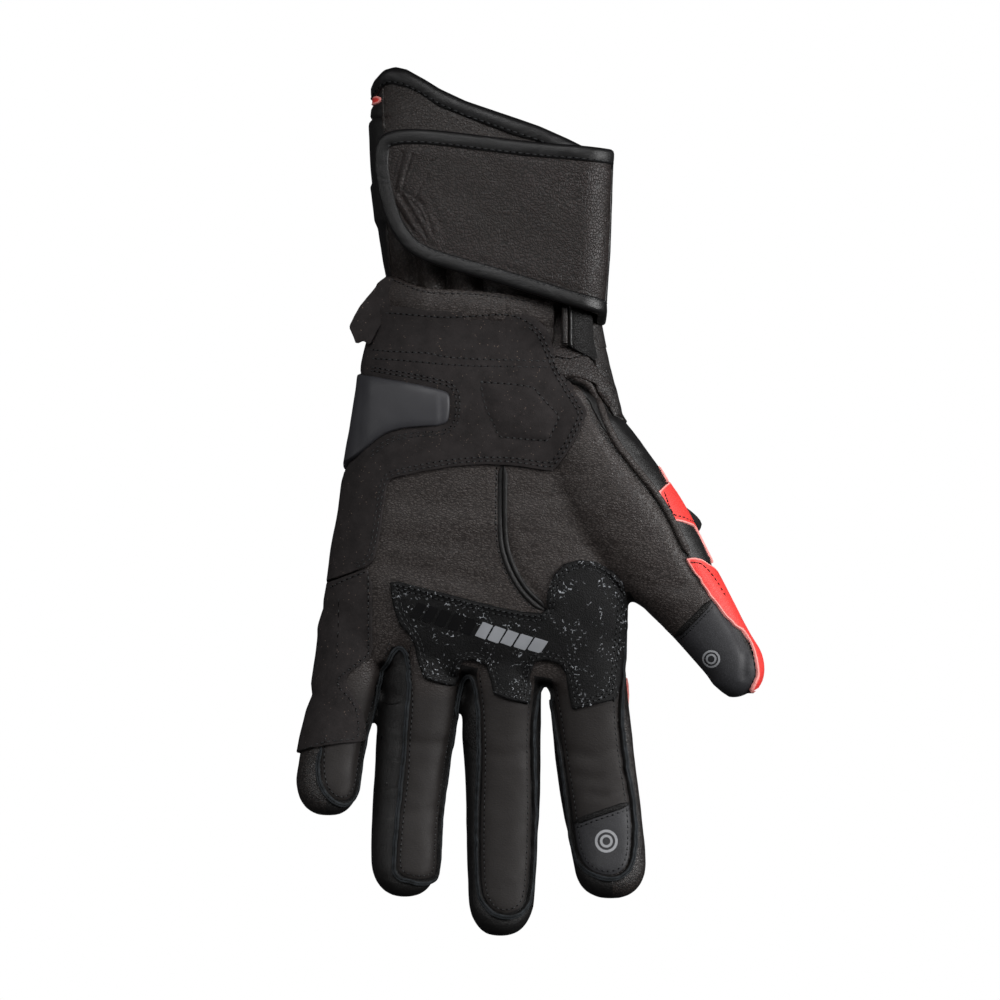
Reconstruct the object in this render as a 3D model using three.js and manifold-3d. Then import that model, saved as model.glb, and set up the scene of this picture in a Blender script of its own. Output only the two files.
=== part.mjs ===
// Long-cuff motorcycle glove for the left hand, lying on its back with the palm up.
//
// Millimetres, +Z up. +Y runs from the fingertips to the cuff mouth and +X towards the thumb. The origin is on
// the surface the glove lies on, under the middle of its outline.
//
// The hand, the cuff and the digits are lofts through tables of sections. One function makes the whole form at
// any offset from its outer skin. The hollow leather form is the skin less the form one wall inside it, and an
// overlay such as the suede heel is the layer between two offsets. Upright columns with the outlines of the
// sewn panels then cut both into pieces, with a seam gap between neighbours.

import * as THREE from 'three';
import { mergeVertices } from 'three/addons/utils/BufferGeometryUtils.js';
import Module from 'manifold-3d';

const wasm = await Module();
wasm.setup();

// Driving dimensions

const LEATHER_WALL = 2.4; // leather, padding and lining together
const SEAM_GAP = 0.3; // between two sewn pieces
const SUEDE = 1.4;
const GRIP_PATCH = 1.3;
const RED_LEATHER = 1.2;
const STRAP = 1.3;
const SLIDER = 2.6; // hard glide plate on the heel of the palm
const BINDING_PROUD = 0.9; // folded tape round the mouth, past the leather on both sides
const BINDING_WIDTH = 5;
const FLAP_INNER = BINDING_PROUD + SEAM_GAP; // the flap lies over the bound mouth
const FLAP_LEATHER = 2;
const FLAP_BINDING = 2.8;
const GUARD_BEVEL = 2.5;

const WRIST_Y = 60; // seam between hand and cuff
const MIDDLE_Z = 26; // a height inside the hollow everywhere, where front and back cuts stop
const BODY_SIDES = 20;
const DIGIT_SIDES = 12;

// Sections of the hand and cuff, from the cuff mouth to the webs of the fingers. skew is how much further
// towards the fingertips the thumb side of a section lies than the little-finger side.

const BODY = [
  { y: 164, left: -55.0, right: 29.0, back: 1.6, front: 48, square: 2.7, skew: 0 },
  { y: 108, left: -55.5, right: 28.0, back: 1.6, front: 49, square: 2.7, skew: 0 },
  { y: 90, left: -52.5, right: 27.0, back: 1.6, front: 46, square: 2.6, skew: 0 },
  { y: 78, left: -50.0, right: 25.5, back: 2.5, front: 42, square: 2.5, skew: 0 },
  { y: 58, left: -56.0, right: 26.5, back: 4.0, front: 43, square: 2.6, skew: 0 },
  { y: 45, left: -58.5, right: 28.0, back: 4.5, front: 46, square: 2.7, skew: 0 },
  { y: 8, left: -65.0, right: 32.5, back: 6.0, front: 44, square: 2.9, skew: 0 },
  { y: -14, left: -68.5, right: 35.0, back: 6.5, front: 42, square: 3.0, skew: 2 },
  { y: -36, left: -71.5, right: 37.0, back: 7.5, front: 40, square: 3.0, skew: 6 },
  { y: -50, left: -73.5, right: 36.8, back: 9.5, front: 37, square: 2.9, skew: 10 },
  { y: -62, left: -73.5, right: 35.5, back: 13.0, front: 33, square: 2.7, skew: 13 },
];

// Sections of each digit, from inside the hand to where its rounded tip starts. x, y and z are the middle.

const LITTLE = {
  sections: [
    { x: -61.3, y: -44, z: 22.0, halfWidth: 11.3, halfDepth: 12.0 },
    { x: -66.0, y: -77, z: 22.0, halfWidth: 11.3, halfDepth: 11.7 },
    { x: -71.5, y: -99, z: 25.5, halfWidth: 11.6, halfDepth: 11.2 },
  ],
  tip: { x: -71.6, y: -112, z: 28.5 },
};
const RING = {
  sections: [
    { x: -36.5, y: -50, z: 22.5, halfWidth: 13.4, halfDepth: 12.5 },
    { x: -40.0, y: -80, z: 21.5, halfWidth: 13.5, halfDepth: 12.3 },
    { x: -42.5, y: -104, z: 23.5, halfWidth: 13.0, halfDepth: 12.0 },
    { x: -43.7, y: -127, z: 28.0, halfWidth: 12.2, halfDepth: 11.6 },
  ],
  tip: { x: -44.4, y: -141.8, z: 31.5 },
};
const MIDDLE = {
  sections: [
    { x: -8.5, y: -52, z: 22.5, halfWidth: 14.0, halfDepth: 12.6 },
    { x: -9.2, y: -84, z: 21.5, halfWidth: 14.1, halfDepth: 12.5 },
    { x: -8.5, y: -115, z: 24.5, halfWidth: 13.0, halfDepth: 12.1 },
    { x: -9.0, y: -141, z: 29.5, halfWidth: 12.0, halfDepth: 11.5 },
  ],
  tip: { x: -8.9, y: -155.9, z: 32.5 },
};
const INDEX = {
  sections: [
    { x: 20.5, y: -50, z: 22.5, halfWidth: 13.8, halfDepth: 12.6 },
    { x: 22.7, y: -77, z: 21.5, halfWidth: 13.8, halfDepth: 12.4 },
    { x: 26.0, y: -99, z: 23.0, halfWidth: 14.2, halfDepth: 12.2 },
    { x: 30.0, y: -128, z: 27.5, halfWidth: 13.1, halfDepth: 11.8 },
  ],
  tip: { x: 31.3, y: -142.2, z: 30.5 },
};
const THUMB = {
  sections: [
    { x: 9.0, y: 40, z: 26.0, halfWidth: 14.5, halfDepth: 18.0 },
    { x: 17.5, y: 22, z: 27.0, halfWidth: 18.0, halfDepth: 19.0 },
    { x: 30.0, y: 0, z: 27.0, halfWidth: 20.5, halfDepth: 17.5 },
    { x: 44.5, y: -18, z: 26.0, halfWidth: 17.6, halfDepth: 15.2 },
    { x: 60.0, y: -37.6, z: 26.0, halfWidth: 12.6, halfDepth: 13.0 },
    { x: 74.0, y: -58.3, z: 27.5, halfWidth: 9.6, halfDepth: 11.2 },
  ],
  tip: { x: 78.4, y: -69.4, z: 29 },
};
const FINGERS = [LITTLE, RING, MIDDLE, INDEX];

// Outlines of the sewn panels, seen from above, as [x, y] points.

const PALM_OUTLINE = [
  [-52, 60], [-55, 45], [-58, 28], [-61, 8], [-64, -12], [-68, -36], [-70, -46], [-66, -60], [-50, -57],
  [-44.5, -51.5], [-40, -58], [-36, -64], [-27, -62], [-22, -56], [-17, -62], [-9, -66], [1, -65], [6, -60],
  [11, -66], [21, -70], [32, -64], [33, -42], [31, -36], [20, -37.5], [8, -38.5], [-2.3, -26.6], [-7.7, -14],
  [-9.5, 0], [-9.5, 60],
];
const THUMB_OUTLINE = [
  [-9.5, 60], [-9.5, 0], [-7.7, -14], [-2.3, -26.6], [8, -38.5], [20, -37.5], [31, -36], [36, -30],
  [41.5, -31.4], [52, -42.2], [62, -53], [70.5, -62], [75, -64.5], [78.5, -60], [77.5, -52], [74, -45],
  [67, -34], [61, -27.7], [57.4, -21], [51, -8], [45.5, 1], [37.3, 10.8], [28.3, 22], [21, 33.5], [20, 60],
];
const BACK_OUTLINE = [
  [-52, 60], [-55, 45], [-58, 28], [-61, 8], [-64, -12], [-68, -36], [-70, -46], [-66, -60], [-50, -57],
  [-44.5, -52], [-40, -58], [-36, -64], [-27, -62], [-22, -56], [-17, -62], [-9, -66], [1, -65], [6, -60],
  [11, -66], [21, -70], [32, -64], [33, -40], [31, -20], [26, 5], [23, 30], [21, 60],
];
const CUFF_FRONT_OUTLINE = [
  [-49, 60.3], [-46.5, 78], [-49, 92], [-51, 110], [-51, 170], [23, 170], [23, 100], [21.5, 78], [22, 60.3],
];
const HEEL_OUTLINE = [
  [-54.5, 69.5], [-38, 67.5], [0.5, 67.3], [6.7, 63.4], [10.3, 56], [12.4, 49], [20.3, 33], [17.5, 25.5],
  [4.9, 10.4], [-9.5, 13.7], [-20, 14], [-34.7, 12], [-46.3, 9.4], [-50.2, 5.8], [-52.4, -14], [-54.2, -25],
  [-67, -29.5], [-73, -32.5], [-95, -36], [-95, 56], [-56, 56],
];
const SLIDER_OUTLINE = [
  [-95, 44.6], [-58.9, 44.6], [-45.5, 43.6], [-31.1, 40.7], [-28, 38.5], [-27.5, 29.5], [-29.8, 26.6],
  [-38.3, 25.6], [-47.3, 22.7], [-54.5, 18.4], [-61.7, 13], [-66, 8.5], [-95, 4],
];
const EDGE_OUTLINE = [
  [-54.3, -25.5], [-54.2, -55.4], [-57.8, -59], [-63, -63], [-63.2, -68.4], [-60.5, -72], [-59, -76.5],
  [-59.5, -82], [-62.5, -89], [-74.3, -90.4], [-79.4, -92.5], [-95, -95], [-95, -36.5], [-73, -33], [-67, -30],
];
const GRIP_OUTLINE = [
  [-48.4, -29.5], [-46.3, -29.2], [-29, -33.1], [-11, -37.8], [5.2, -40.3], [7.4, -38.5], [7.7, -33.1],
  [9.9, -26.6], [14.2, -22.6], [18.9, -21.2], [25, -22.3], [30.8, -25.6], [34.2, -32], [34, -57], [33, -65.5],
  [30.4, -72], [17.1, -75.2], [14.6, -62], [11.7, -58.3], [7, -56.5], [2.7, -57.6], [0.9, -63], [0.5, -73],
  [-11.7, -69], [-13.1, -63], [-14.6, -58.3], [-19.3, -56.5], [-23.6, -57.6], [-27.2, -66.6], [-36.5, -63],
  [-39, -57.2], [-39.8, -51], [-45.5, -45],
];
const STRAP_OUTLINE = [
  [-51.7, 78], [-45.5, 76], [-27.5, 74.5], [-9.5, 73], [9.5, 70.2], [11.6, 58], [10.9, 57], [7.2, 64],
  [0.8, 68], [-38, 68.2], [-51, 69.8],
];
const STRAP_TAB_OUTLINE = [
  [-50, 78.3], [-52.5, 77.6], [-62.8, 65.2], [-63.5, 62.3], [-61.4, 57.2], [-57, 58], [-55, 64], [-50, 70.5],
];
const KEEPER_OUTLINE = [[13.5, 68.4], [19, 67.6], [19.5, 54], [13.5, 53]];
const FLAP_OUTLINE = [
  [-52.3, 127], [-49.9, 130.7], [-45.5, 132.1], [-31.1, 132.1], [-9.5, 129.2], [12.1, 126.7], [26.5, 125.3],
  [50, 124], [50, 58.5], [27.9, 66], [19.3, 69.3], [4.9, 73.8], [-9.5, 77.4], [-23.9, 80.6], [-34.7, 83.9],
  [-41.2, 87.5], [-46.3, 92.9], [-50.4, 100.4], [-52.8, 110.2], [-53.2, 120],
];
const MOUTH_EDGE = [
  [-66, 141], [-59.2, 145], [-55.5, 150.5], [-52.5, 154.2], [-48.4, 155.9], [-43.7, 155.2], [-38.3, 152.3],
  [-31.1, 148], [-22.1, 144], [-8.1, 139.7], [4.9, 135.4], [14.9, 131], [25.7, 126.7], [42, 121],
];
const KNUCKLE_OUTLINE = [
  [-66, -27], [-61, -17], [-47, -14], [-42, -20], [-36, -13], [-20, -12], [-15, -18], [-10, -12], [6, -12],
  [11, -19], [16, -14], [28, -17], [33.5, -26], [33, -40], [28, -47], [15, -46], [11, -41], [7, -48],
  [-9, -50], [-14, -43], [-19, -49], [-36, -49], [-41, -42], [-46, -47], [-60, -44], [-66, -38],
];
const THUMB_GUARD_OUTLINE = [[42, 0], [49, 7], [58, 4], [64.6, -7], [61, -15], [53, -14], [45, -8]];
const THUMB_RED_UPPER_OUTLINE = [
  [48, 4], [52, 7], [50, 14], [72, 14], [80, -20], [66, -24], [62, -14], [56, -7.5], [51, -6.5],
];
const THUMB_RED_LOWER_OUTLINE = [
  [58, -21.5], [62.2, -21], [66.4, -24.6], [70.6, -30], [75, -37], [95, -45], [95, -80], [76, -80],
  [75.5, -66], [79.3, -60.5], [78.3, -52], [74.8, -44.6], [67.8, -33.6], [61.7, -27.3],
];
const CUFF_RED_OUTLINE = [[-70, 143], [-70, 112], [-30, 104], [8, 92], [8, 116], [-28, 130], [-48, 142]];
const INDEX_TIP_REGION = [[10, -110], [16.5, -108.6], [35.2, -103.5], [60, -97], [60, -160], [10, -160]];
const THUMB_TIP_REGION = [[44, -60], [53, -49], [67, -35.6], [78, -25], [110, -60], [80, -90]];
const THUMB_REGION = [[33, -20], [37, -36.5], [60, -78], [95, -78], [95, 6], [50, 8], [40, -5]];
const HAND_SIDE_FAR = 120; // past every side of the glove

// Loft and solid helpers

function signedPower(value, power) {
  return Math.sign(value) * Math.abs(value) ** power;
}

// A closed solid through rings of equally many points. Each end is a fan round the ring's own middle, or runs
// to the point given for it.
function loft(rings, lastPoint) {
  const sides = rings[0].length;
  const middle = (ring) => ring.reduce((sum, p) => sum.add(p), new THREE.Vector3()).divideScalar(sides);
  const points = [...rings.flat(), middle(rings[0]), lastPoint ?? middle(rings.at(-1))];
  const first = points.length - 2;
  const last = points.length - 1;
  const lastRing = (rings.length - 1) * sides;
  const triangles = [];
  for (let side = 0; side < sides; side++) {
    const next = (side + 1) % sides;
    for (let start = 0; start < lastRing; start += sides) {
      triangles.push(start + side, start + next, start + sides + side);
      triangles.push(start + next, start + sides + next, start + sides + side);
    }
    triangles.push(first, next, side);
    triangles.push(last, lastRing + side, lastRing + next);
  }
  const geometry = new THREE.BufferGeometry().setFromPoints(points);
  geometry.setIndex(triangles);
  return solidFrom(geometry);
}

function solidFrom(geometry) {
  geometry.deleteAttribute('normal');
  geometry.deleteAttribute('uv');
  const merged = mergeVertices(geometry, 1e-4);
  const mesh = new wasm.Mesh({
    numProp: 3,
    vertProperties: merged.attributes.position.array,
    triVerts: new Uint32Array(merged.index.array),
  });
  return new wasm.Manifold(mesh);
}

function bodyForm(inset) {
  const rings = BODY.map((row, index) => {
    const isWeb = index === BODY.length - 1;
    const across = (row.left + row.right) / 2;
    const height = (row.back + row.front) / 2;
    const halfWidth = (row.right - row.left) / 2 - inset;
    const halfHeight = (row.front - row.back) / 2 - inset;
    return Array.from({ length: BODY_SIDES }, (_, side) => {
      const angle = (side / BODY_SIDES) * 2 * Math.PI;
      const x = across + halfWidth * signedPower(Math.cos(angle), 2 / row.square);
      const z = height + halfHeight * signedPower(Math.sin(angle), 2 / row.square);
      const lean = -row.skew * ((x - across) / (row.right - row.left));
      return new THREE.Vector3(x, row.y + lean + (isWeb ? inset : 0), z);
    });
  });
  return loft(rings);
}

// A digit's sections stand across its own direction, upright, and its tip is a quarter ellipse turned round.
function digitForm(digit, inset) {
  const centres = [...digit.sections, digit.tip].map((row) => new THREE.Vector3(row.x, row.y, row.z));
  const flatDirection = (from, to) => new THREE.Vector3(to.x - from.x, to.y - from.y, 0).normalize();
  const ring = (centre, direction, halfWidth, halfDepth) => {
    const sideways = new THREE.Vector3(-direction.y, direction.x, 0);
    return Array.from({ length: DIGIT_SIDES }, (_, side) => {
      const angle = (side / DIGIT_SIDES) * 2 * Math.PI;
      return centre
        .clone()
        .addScaledVector(sideways, halfWidth * signedPower(Math.cos(angle), 0.88))
        .add(new THREE.Vector3(0, 0, halfDepth * signedPower(Math.sin(angle), 0.88)));
    });
  };
  const rings = digit.sections.map((row, index) => {
    const direction = flatDirection(centres[Math.max(index - 1, 0)], centres[index + 1]);
    return ring(centres[index], direction, row.halfWidth - inset, row.halfDepth - inset);
  });
  const end = digit.sections.at(-1);
  const endCentre = centres.at(-2);
  const toTip = centres.at(-1).clone().sub(endCentre);
  const reach = toTip.clone().setLength(toTip.length() - inset);
  const direction = flatDirection(endCentre, centres.at(-1));
  for (const step of [0.4, 0.75]) {
    const angle = (step * Math.PI) / 2;
    const centre = endCentre.clone().addScaledVector(reach, Math.sin(angle));
    const shrink = Math.cos(angle) ** 0.85;
    rings.push(ring(centre, direction, (end.halfWidth - inset) * shrink, (end.halfDepth - inset) * shrink));
  }
  return loft(rings, endCentre.clone().add(reach));
}

// The whole glove as one closed form, inset from its outer skin, or outside it where the inset is negative.
function gloveForm(inset) {
  return [...FINGERS, THUMB].reduce((form, digit) => form.add(digitForm(digit, inset)), bodyForm(inset));
}

// Moves every side of an outline outwards by a distance, or inwards by a negative one.
function offsetOutline(outline, distance) {
  const turning = Math.sign(THREE.ShapeUtils.area(outline.map(([x, y]) => new THREE.Vector2(x, y))));
  return outline.map(([x, y], index) => {
    const [beforeX, beforeY] = outline.at(index - 1);
    const [afterX, afterY] = outline[(index + 1) % outline.length];
    const before = new THREE.Vector2(x - beforeX, y - beforeY).normalize();
    const after = new THREE.Vector2(afterX - x, afterY - y).normalize();
    const corner = before.clone().add(after).normalize();
    const reach = (distance * turning) / Math.max(corner.dot(before), 0.5);
    return [x + corner.y * reach, y - corner.x * reach];
  });
}

function column(outline, low, high, offset = 0) {
  const moved = offset ? offsetOutline(outline, offset) : outline;
  const shape = new THREE.Shape(moved.map(([x, y]) => new THREE.Vector2(x, y)));
  const geometry = new THREE.ExtrudeGeometry(shape, { depth: high - low, bevelEnabled: false });
  geometry.translate(0, 0, low);
  return solidFrom(geometry);
}

// A plate with rounded-off lower edges, from z = low up to high.
function bevelledPlate(outline, low, high) {
  const shape = new THREE.Shape(outline.map(([x, y]) => new THREE.Vector2(x, y)));
  const geometry = new THREE.ExtrudeGeometry(shape, {
    depth: high - low - 2 * GUARD_BEVEL,
    bevelThickness: GUARD_BEVEL,
    bevelSize: GUARD_BEVEL,
    bevelOffset: -GUARD_BEVEL,
    bevelSegments: 1,
  });
  geometry.translate(0, 0, low + GUARD_BEVEL);
  return solidFrom(geometry);
}

// The leather layer between two offsets outside the skin.
function layer(inner, outer) {
  return gloveForm(-outer).subtract(gloveForm(-inner));
}

// Outline of a finger's front or back panel, its sides and end set in from the finger's own.
function fingerPanelOutline(finger, sideInset, tipInset) {
  const rows = finger.sections;
  const alongAt = (index) => {
    const from = rows[Math.max(index - 1, 0)];
    const to = rows[index + 1] ?? finger.tip;
    return new THREE.Vector2(to.x - from.x, to.y - from.y).normalize();
  };
  const left = [];
  const right = [];
  rows.forEach((row, index) => {
    const along = alongAt(index);
    const half = row.halfWidth - sideInset;
    left.push([row.x + along.y * half, row.y - along.x * half]);
    right.unshift([row.x - along.y * half, row.y + along.x * half]);
  });
  const end = rows.at(-1);
  const along = alongAt(rows.length - 1);
  const half = end.halfWidth - sideInset;
  const reach = Math.hypot(finger.tip.x - end.x, finger.tip.y - end.y) - tipInset;
  const tip = [0.3, 0.7].map((turn) => {
    const angle = turn * Math.PI;
    const across = Math.cos(angle) * half;
    const ahead = Math.sin(angle) * reach;
    return [end.x + along.y * across + along.x * ahead, end.y - along.x * across + along.y * ahead];
  });
  return [...left, ...tip, ...right];
}

// Everything between the middle lines of two neighbouring fingers.
function betweenFingers(one, other) {
  const beyond = ({ tip }) => [tip.x, tip.y - 20];
  const line = (finger) => finger.sections.map((row) => [row.x, row.y]);
  const tips = (finger) => [finger.tip.x, finger.tip.y];
  return [beyond(one), tips(one), ...line(one).reverse(), ...line(other), tips(other), beyond(other)];
}

// Pieces

const glove = new THREE.Group();

const MATERIALS = {
  leather: { color: 0x2b2725, roughness: 0.55 },
  smoothLeather: { color: 0x1f1f20, roughness: 0.5 },
  touchLeather: { color: 0x3a3a3c, roughness: 0.6 },
  suede: { color: 0x211f1f, roughness: 0.95 },
  grip: { color: 0x1c1c1d, roughness: 0.45 },
  binding: { color: 0x242526, roughness: 0.35 },
  redLeather: { color: 0xf25249, roughness: 0.55 },
  hardPlastic: { color: 0x3b3b3e, roughness: 0.6 },
  guardPlastic: { color: 0x161617, roughness: 0.3 },
};

function addPiece(name, look, solid) {
  const { vertProperties, triVerts } = solid.getMesh();
  const geometry = new THREE.BufferGeometry();
  geometry.setAttribute('position', new THREE.Float32BufferAttribute(vertProperties, 3));
  geometry.setIndex(Array.from(triVerts));
  geometry.computeVertexNormals();
  const material = new THREE.MeshStandardMaterial({ ...MATERIALS[look], metalness: 0 });
  const mesh = new THREE.Mesh(geometry, material);
  mesh.name = name;
  glove.add(mesh);
}

const TOP = 80;
const UNDER = -10;
const FRONT_SIDE_INSET = 3.4;
const FRONT_TIP_INSET = 8;
const BACK_TIP_INSET = 5;

// The hollow leather form, open at the cuff mouth.

const mouthColumn = column([...MOUTH_EDGE, [60, 180], [-80, 180]], UNDER, TOP);
const skin = gloveForm(0);
const hollow = gloveForm(LEATHER_WALL);
const form = skin.subtract(hollow).subtract(mouthColumn);

// Front of the hand: the palm leather with the finger fronts is one piece, and the thumb leather the next.

function frontColumn(offset) {
  const low = MIDDLE_Z - offset;
  return FINGERS.reduce(
    (sum, finger) =>
      sum.add(column(fingerPanelOutline(finger, FRONT_SIDE_INSET, FRONT_TIP_INSET), low, TOP, offset)),
    column(PALM_OUTLINE, low, TOP, offset),
  );
}

const indexTipColumn = column(INDEX_TIP_REGION, UNDER, TOP);
const thumbTipColumn = column(THUMB_TIP_REGION, UNDER, TOP);
const palm = form.intersect(frontColumn(-SEAM_GAP));
addPiece('palm_leather', 'leather', palm.subtract(column(INDEX_TIP_REGION, UNDER, TOP, SEAM_GAP)));
addPiece('index_touch_tip', 'touchLeather', palm.intersect(indexTipColumn));

const thumbFront = form.intersect(column(THUMB_OUTLINE, MIDDLE_Z + SEAM_GAP, TOP, -SEAM_GAP));
addPiece('thumb_leather', 'leather', thumbFront.subtract(column(THUMB_TIP_REGION, UNDER, TOP, SEAM_GAP)));
addPiece('thumb_touch_tip', 'touchLeather', thumbFront.intersect(thumbTipColumn));

// Back of the hand with the finger backs.

function backColumn(offset) {
  const high = MIDDLE_Z + offset;
  return FINGERS.reduce(
    (sum, finger) =>
      sum.add(column(fingerPanelOutline(finger, FRONT_SIDE_INSET, BACK_TIP_INSET), UNDER, high, offset)),
    column(BACK_OUTLINE, UNDER, high, offset),
  );
}

addPiece('back_leather', 'smoothLeather', form.intersect(backColumn(-SEAM_GAP)));

// The side walls between front and back: forked fourchettes between the fingers, and the outer walls.

const sideWalls = form
  .subtract(frontColumn(0))
  .subtract(backColumn(0))
  .subtract(column(THUMB_OUTLINE, MIDDLE_Z, TOP));
const wallBetween = (one, other) =>
  sideWalls.intersect(column(betweenFingers(one, other), UNDER, TOP, -SEAM_GAP / 2));
addPiece('fourchette_little_ring', 'smoothLeather', wallBetween(LITTLE, RING));
addPiece('fourchette_ring_middle', 'smoothLeather', wallBetween(RING, MIDDLE));
addPiece('fourchette_middle_index', 'smoothLeather', wallBetween(MIDDLE, INDEX));

const littleLine = LITTLE.sections.map((row) => [row.x, row.y]);
const littleSide = [
  ...littleLine, [LITTLE.tip.x, LITTLE.tip.y], [LITTLE.tip.x, LITTLE.tip.y - 20],
  [-HAND_SIDE_FAR, LITTLE.tip.y - 20], [-HAND_SIDE_FAR, WRIST_Y], [-40, WRIST_Y], [-40, -20],
];
addPiece('little_side_wall', 'smoothLeather', sideWalls.intersect(column(littleSide, UNDER, TOP, -SEAM_GAP / 2)));

const indexLine = INDEX.sections.map((row) => [row.x, row.y]);
const indexSide = [
  ...indexLine, [INDEX.tip.x, INDEX.tip.y], [INDEX.tip.x, INDEX.tip.y - 20], [60, INDEX.tip.y - 20],
  [60, -78], [37, -36.5], [33, -20], [40, -5], [50, 8], [HAND_SIDE_FAR, 8], [HAND_SIDE_FAR, WRIST_Y],
  [0, WRIST_Y], [0, -20],
];
addPiece('index_side_wall', 'smoothLeather', sideWalls.intersect(column(indexSide, UNDER, TOP, -SEAM_GAP / 2)));
addPiece('thumb_side_wall', 'smoothLeather', sideWalls.intersect(column(THUMB_REGION, UNDER, TOP, -SEAM_GAP / 2)));

// The cuff: a front panel, a back panel that wraps both sides, and folded tape round the mouth.

const bandEdge = MOUTH_EDGE.map(([x, y]) => [x, y - BINDING_WIDTH]);
const cuffRegion = [
  ...bandEdge, [HAND_SIDE_FAR, 110], [HAND_SIDE_FAR, WRIST_Y], [-HAND_SIDE_FAR, WRIST_Y],
  [-HAND_SIDE_FAR, 130],
];
const cuff = form.intersect(column(cuffRegion, UNDER, TOP, -SEAM_GAP));
addPiece('cuff_front', 'leather', cuff.intersect(column(CUFF_FRONT_OUTLINE, MIDDLE_Z, TOP, -SEAM_GAP)));
addPiece('cuff_back', 'smoothLeather', cuff.subtract(column(CUFF_FRONT_OUTLINE, MIDDLE_Z - SEAM_GAP, TOP)));

const mouthBand = column([...MOUTH_EDGE, ...bandEdge.toReversed()], UNDER, TOP);
const bindingTape = gloveForm(-BINDING_PROUD).subtract(gloveForm(LEATHER_WALL + BINDING_PROUD));
addPiece('mouth_binding', 'binding', bindingTape.intersect(mouthBand));

// The closure flap runs over the front of the cuff and round its thumb side, inside a bound edge.

const FLAP_LOW = 12.5;
const inFlap = column(FLAP_OUTLINE, FLAP_LOW, TOP, -BINDING_WIDTH);
const flapArea = column(FLAP_OUTLINE, FLAP_LOW, TOP);
addPiece(
  'closure_flap',
  'leather',
  layer(FLAP_INNER, FLAP_INNER + FLAP_LEATHER).intersect(
    column(FLAP_OUTLINE, FLAP_LOW, TOP, -BINDING_WIDTH - SEAM_GAP),
  ),
);
addPiece(
  'flap_binding',
  'binding',
  layer(FLAP_INNER, FLAP_INNER + FLAP_BINDING).intersect(flapArea).subtract(inFlap),
);

// Wrist strap with its stiff free end and its keeper.

const strapLayer = layer(SEAM_GAP, SEAM_GAP + STRAP);
addPiece('wrist_strap', 'leather', strapLayer.intersect(column(STRAP_OUTLINE, MIDDLE_Z, TOP)));
addPiece('strap_keeper', 'smoothLeather', strapLayer.intersect(column(KEEPER_OUTLINE, MIDDLE_Z, TOP)));
const TAB_LOW = 31;
const TAB_THICK = 2.2;
addPiece(
  'strap_end_tab',
  'suede',
  column(STRAP_TAB_OUTLINE, TAB_LOW, TAB_LOW + TAB_THICK).subtract(gloveForm(-SEAM_GAP - STRAP - SEAM_GAP)),
);

// Overlays on the palm: suede heel and edge, hard slider, grip patch over the finger bases.

const suedeLayer = layer(SEAM_GAP, SEAM_GAP + SUEDE);
const SUEDE_LOW = 17; // the suede wraps round the edge of the hand down to here
const SLIDER_LOW = 17;
const sliderWindow = column(SLIDER_OUTLINE, SLIDER_LOW - SEAM_GAP, TOP);
const tabWindow = column(STRAP_TAB_OUTLINE, TAB_LOW - 1, TAB_LOW + TAB_THICK + 1, SEAM_GAP);
addPiece(
  'heel_patch',
  'suede',
  suedeLayer.intersect(column(HEEL_OUTLINE, SUEDE_LOW, TOP)).subtract(sliderWindow).subtract(tabWindow),
);
addPiece('edge_patch', 'suede', suedeLayer.intersect(column(EDGE_OUTLINE, SUEDE_LOW, TOP)));
addPiece(
  'palm_slider',
  'hardPlastic',
  layer(SEAM_GAP, SEAM_GAP + SLIDER).intersect(column(SLIDER_OUTLINE, SLIDER_LOW, TOP, -SEAM_GAP)),
);
addPiece(
  'grip_patch',
  'grip',
  layer(SEAM_GAP, SEAM_GAP + GRIP_PATCH).intersect(column(GRIP_OUTLINE, MIDDLE_Z, TOP)),
);

// Red panels, and the guards that the glove rests on.

const redLayer = layer(SEAM_GAP, SEAM_GAP + RED_LEATHER);
const overFloor = column([[-200, -200], [200, -200], [200, 200], [-200, 200]], 0, TOP);
const THUMB_RED_LOW = 8;
addPiece('thumb_red_upper', 'redLeather', redLayer.intersect(column(THUMB_RED_UPPER_OUTLINE, THUMB_RED_LOW, TOP)));
addPiece('thumb_red_lower', 'redLeather', redLayer.intersect(column(THUMB_RED_LOWER_OUTLINE, THUMB_RED_LOW, TOP)));

const FINGER_RED_HIGH = 20;
const fingerRed = (left, right, top) => [[left, top], [right, top - 2], [right, top - 12], [left, top - 10]];
const fingerReds = { ring: [-52, -27, -68], middle: [-21.5, 3, -70], index: [10.5, 42, -70] };
for (const [finger, [left, right, top]] of Object.entries(fingerReds)) {
  const area = column(fingerRed(left, right, top), UNDER, FINGER_RED_HIGH);
  addPiece(`${finger}_red_panel`, 'redLeather', redLayer.intersect(area));
}
const CUFF_RED_HIGH = 24;
const cuffRed = redLayer.intersect(column(CUFF_RED_OUTLINE, UNDER, CUFF_RED_HIGH)).intersect(overFloor);
addPiece('cuff_red_panel', 'redLeather', cuffRed);

const GUARD_TOP = 22;
const GUARD_SEAT = gloveForm(-SEAM_GAP);
addPiece('knuckle_guard', 'guardPlastic', bevelledPlate(KNUCKLE_OUTLINE, 0, GUARD_TOP).subtract(GUARD_SEAT));
const THUMB_GUARD_LOW = 5;
const overRed = gloveForm(-SEAM_GAP - RED_LEATHER - SEAM_GAP);
addPiece(
  'thumb_guard',
  'guardPlastic',
  bevelledPlate(THUMB_GUARD_OUTLINE, THUMB_GUARD_LOW, GUARD_TOP).subtract(overRed),
);

export default glove;
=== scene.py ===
# %% [markdown]
# # A long-cuff riding glove, sewn in mesh code
#
# The CAD model gives every piece its size and place, and this notebook gives each one its fine surface: one
# dense skin with folds is cut into the sewn leather panels, overlays are laid on it, raised seams, bindings and
# stitches follow drawn lines, and every material is built from nodes.
#
# The first step loads that model as a fixed frame. All tables below are in millimetres, because a glove maker
# thinks in them, and only the finished meshes are turned to Blender's metres.

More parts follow.
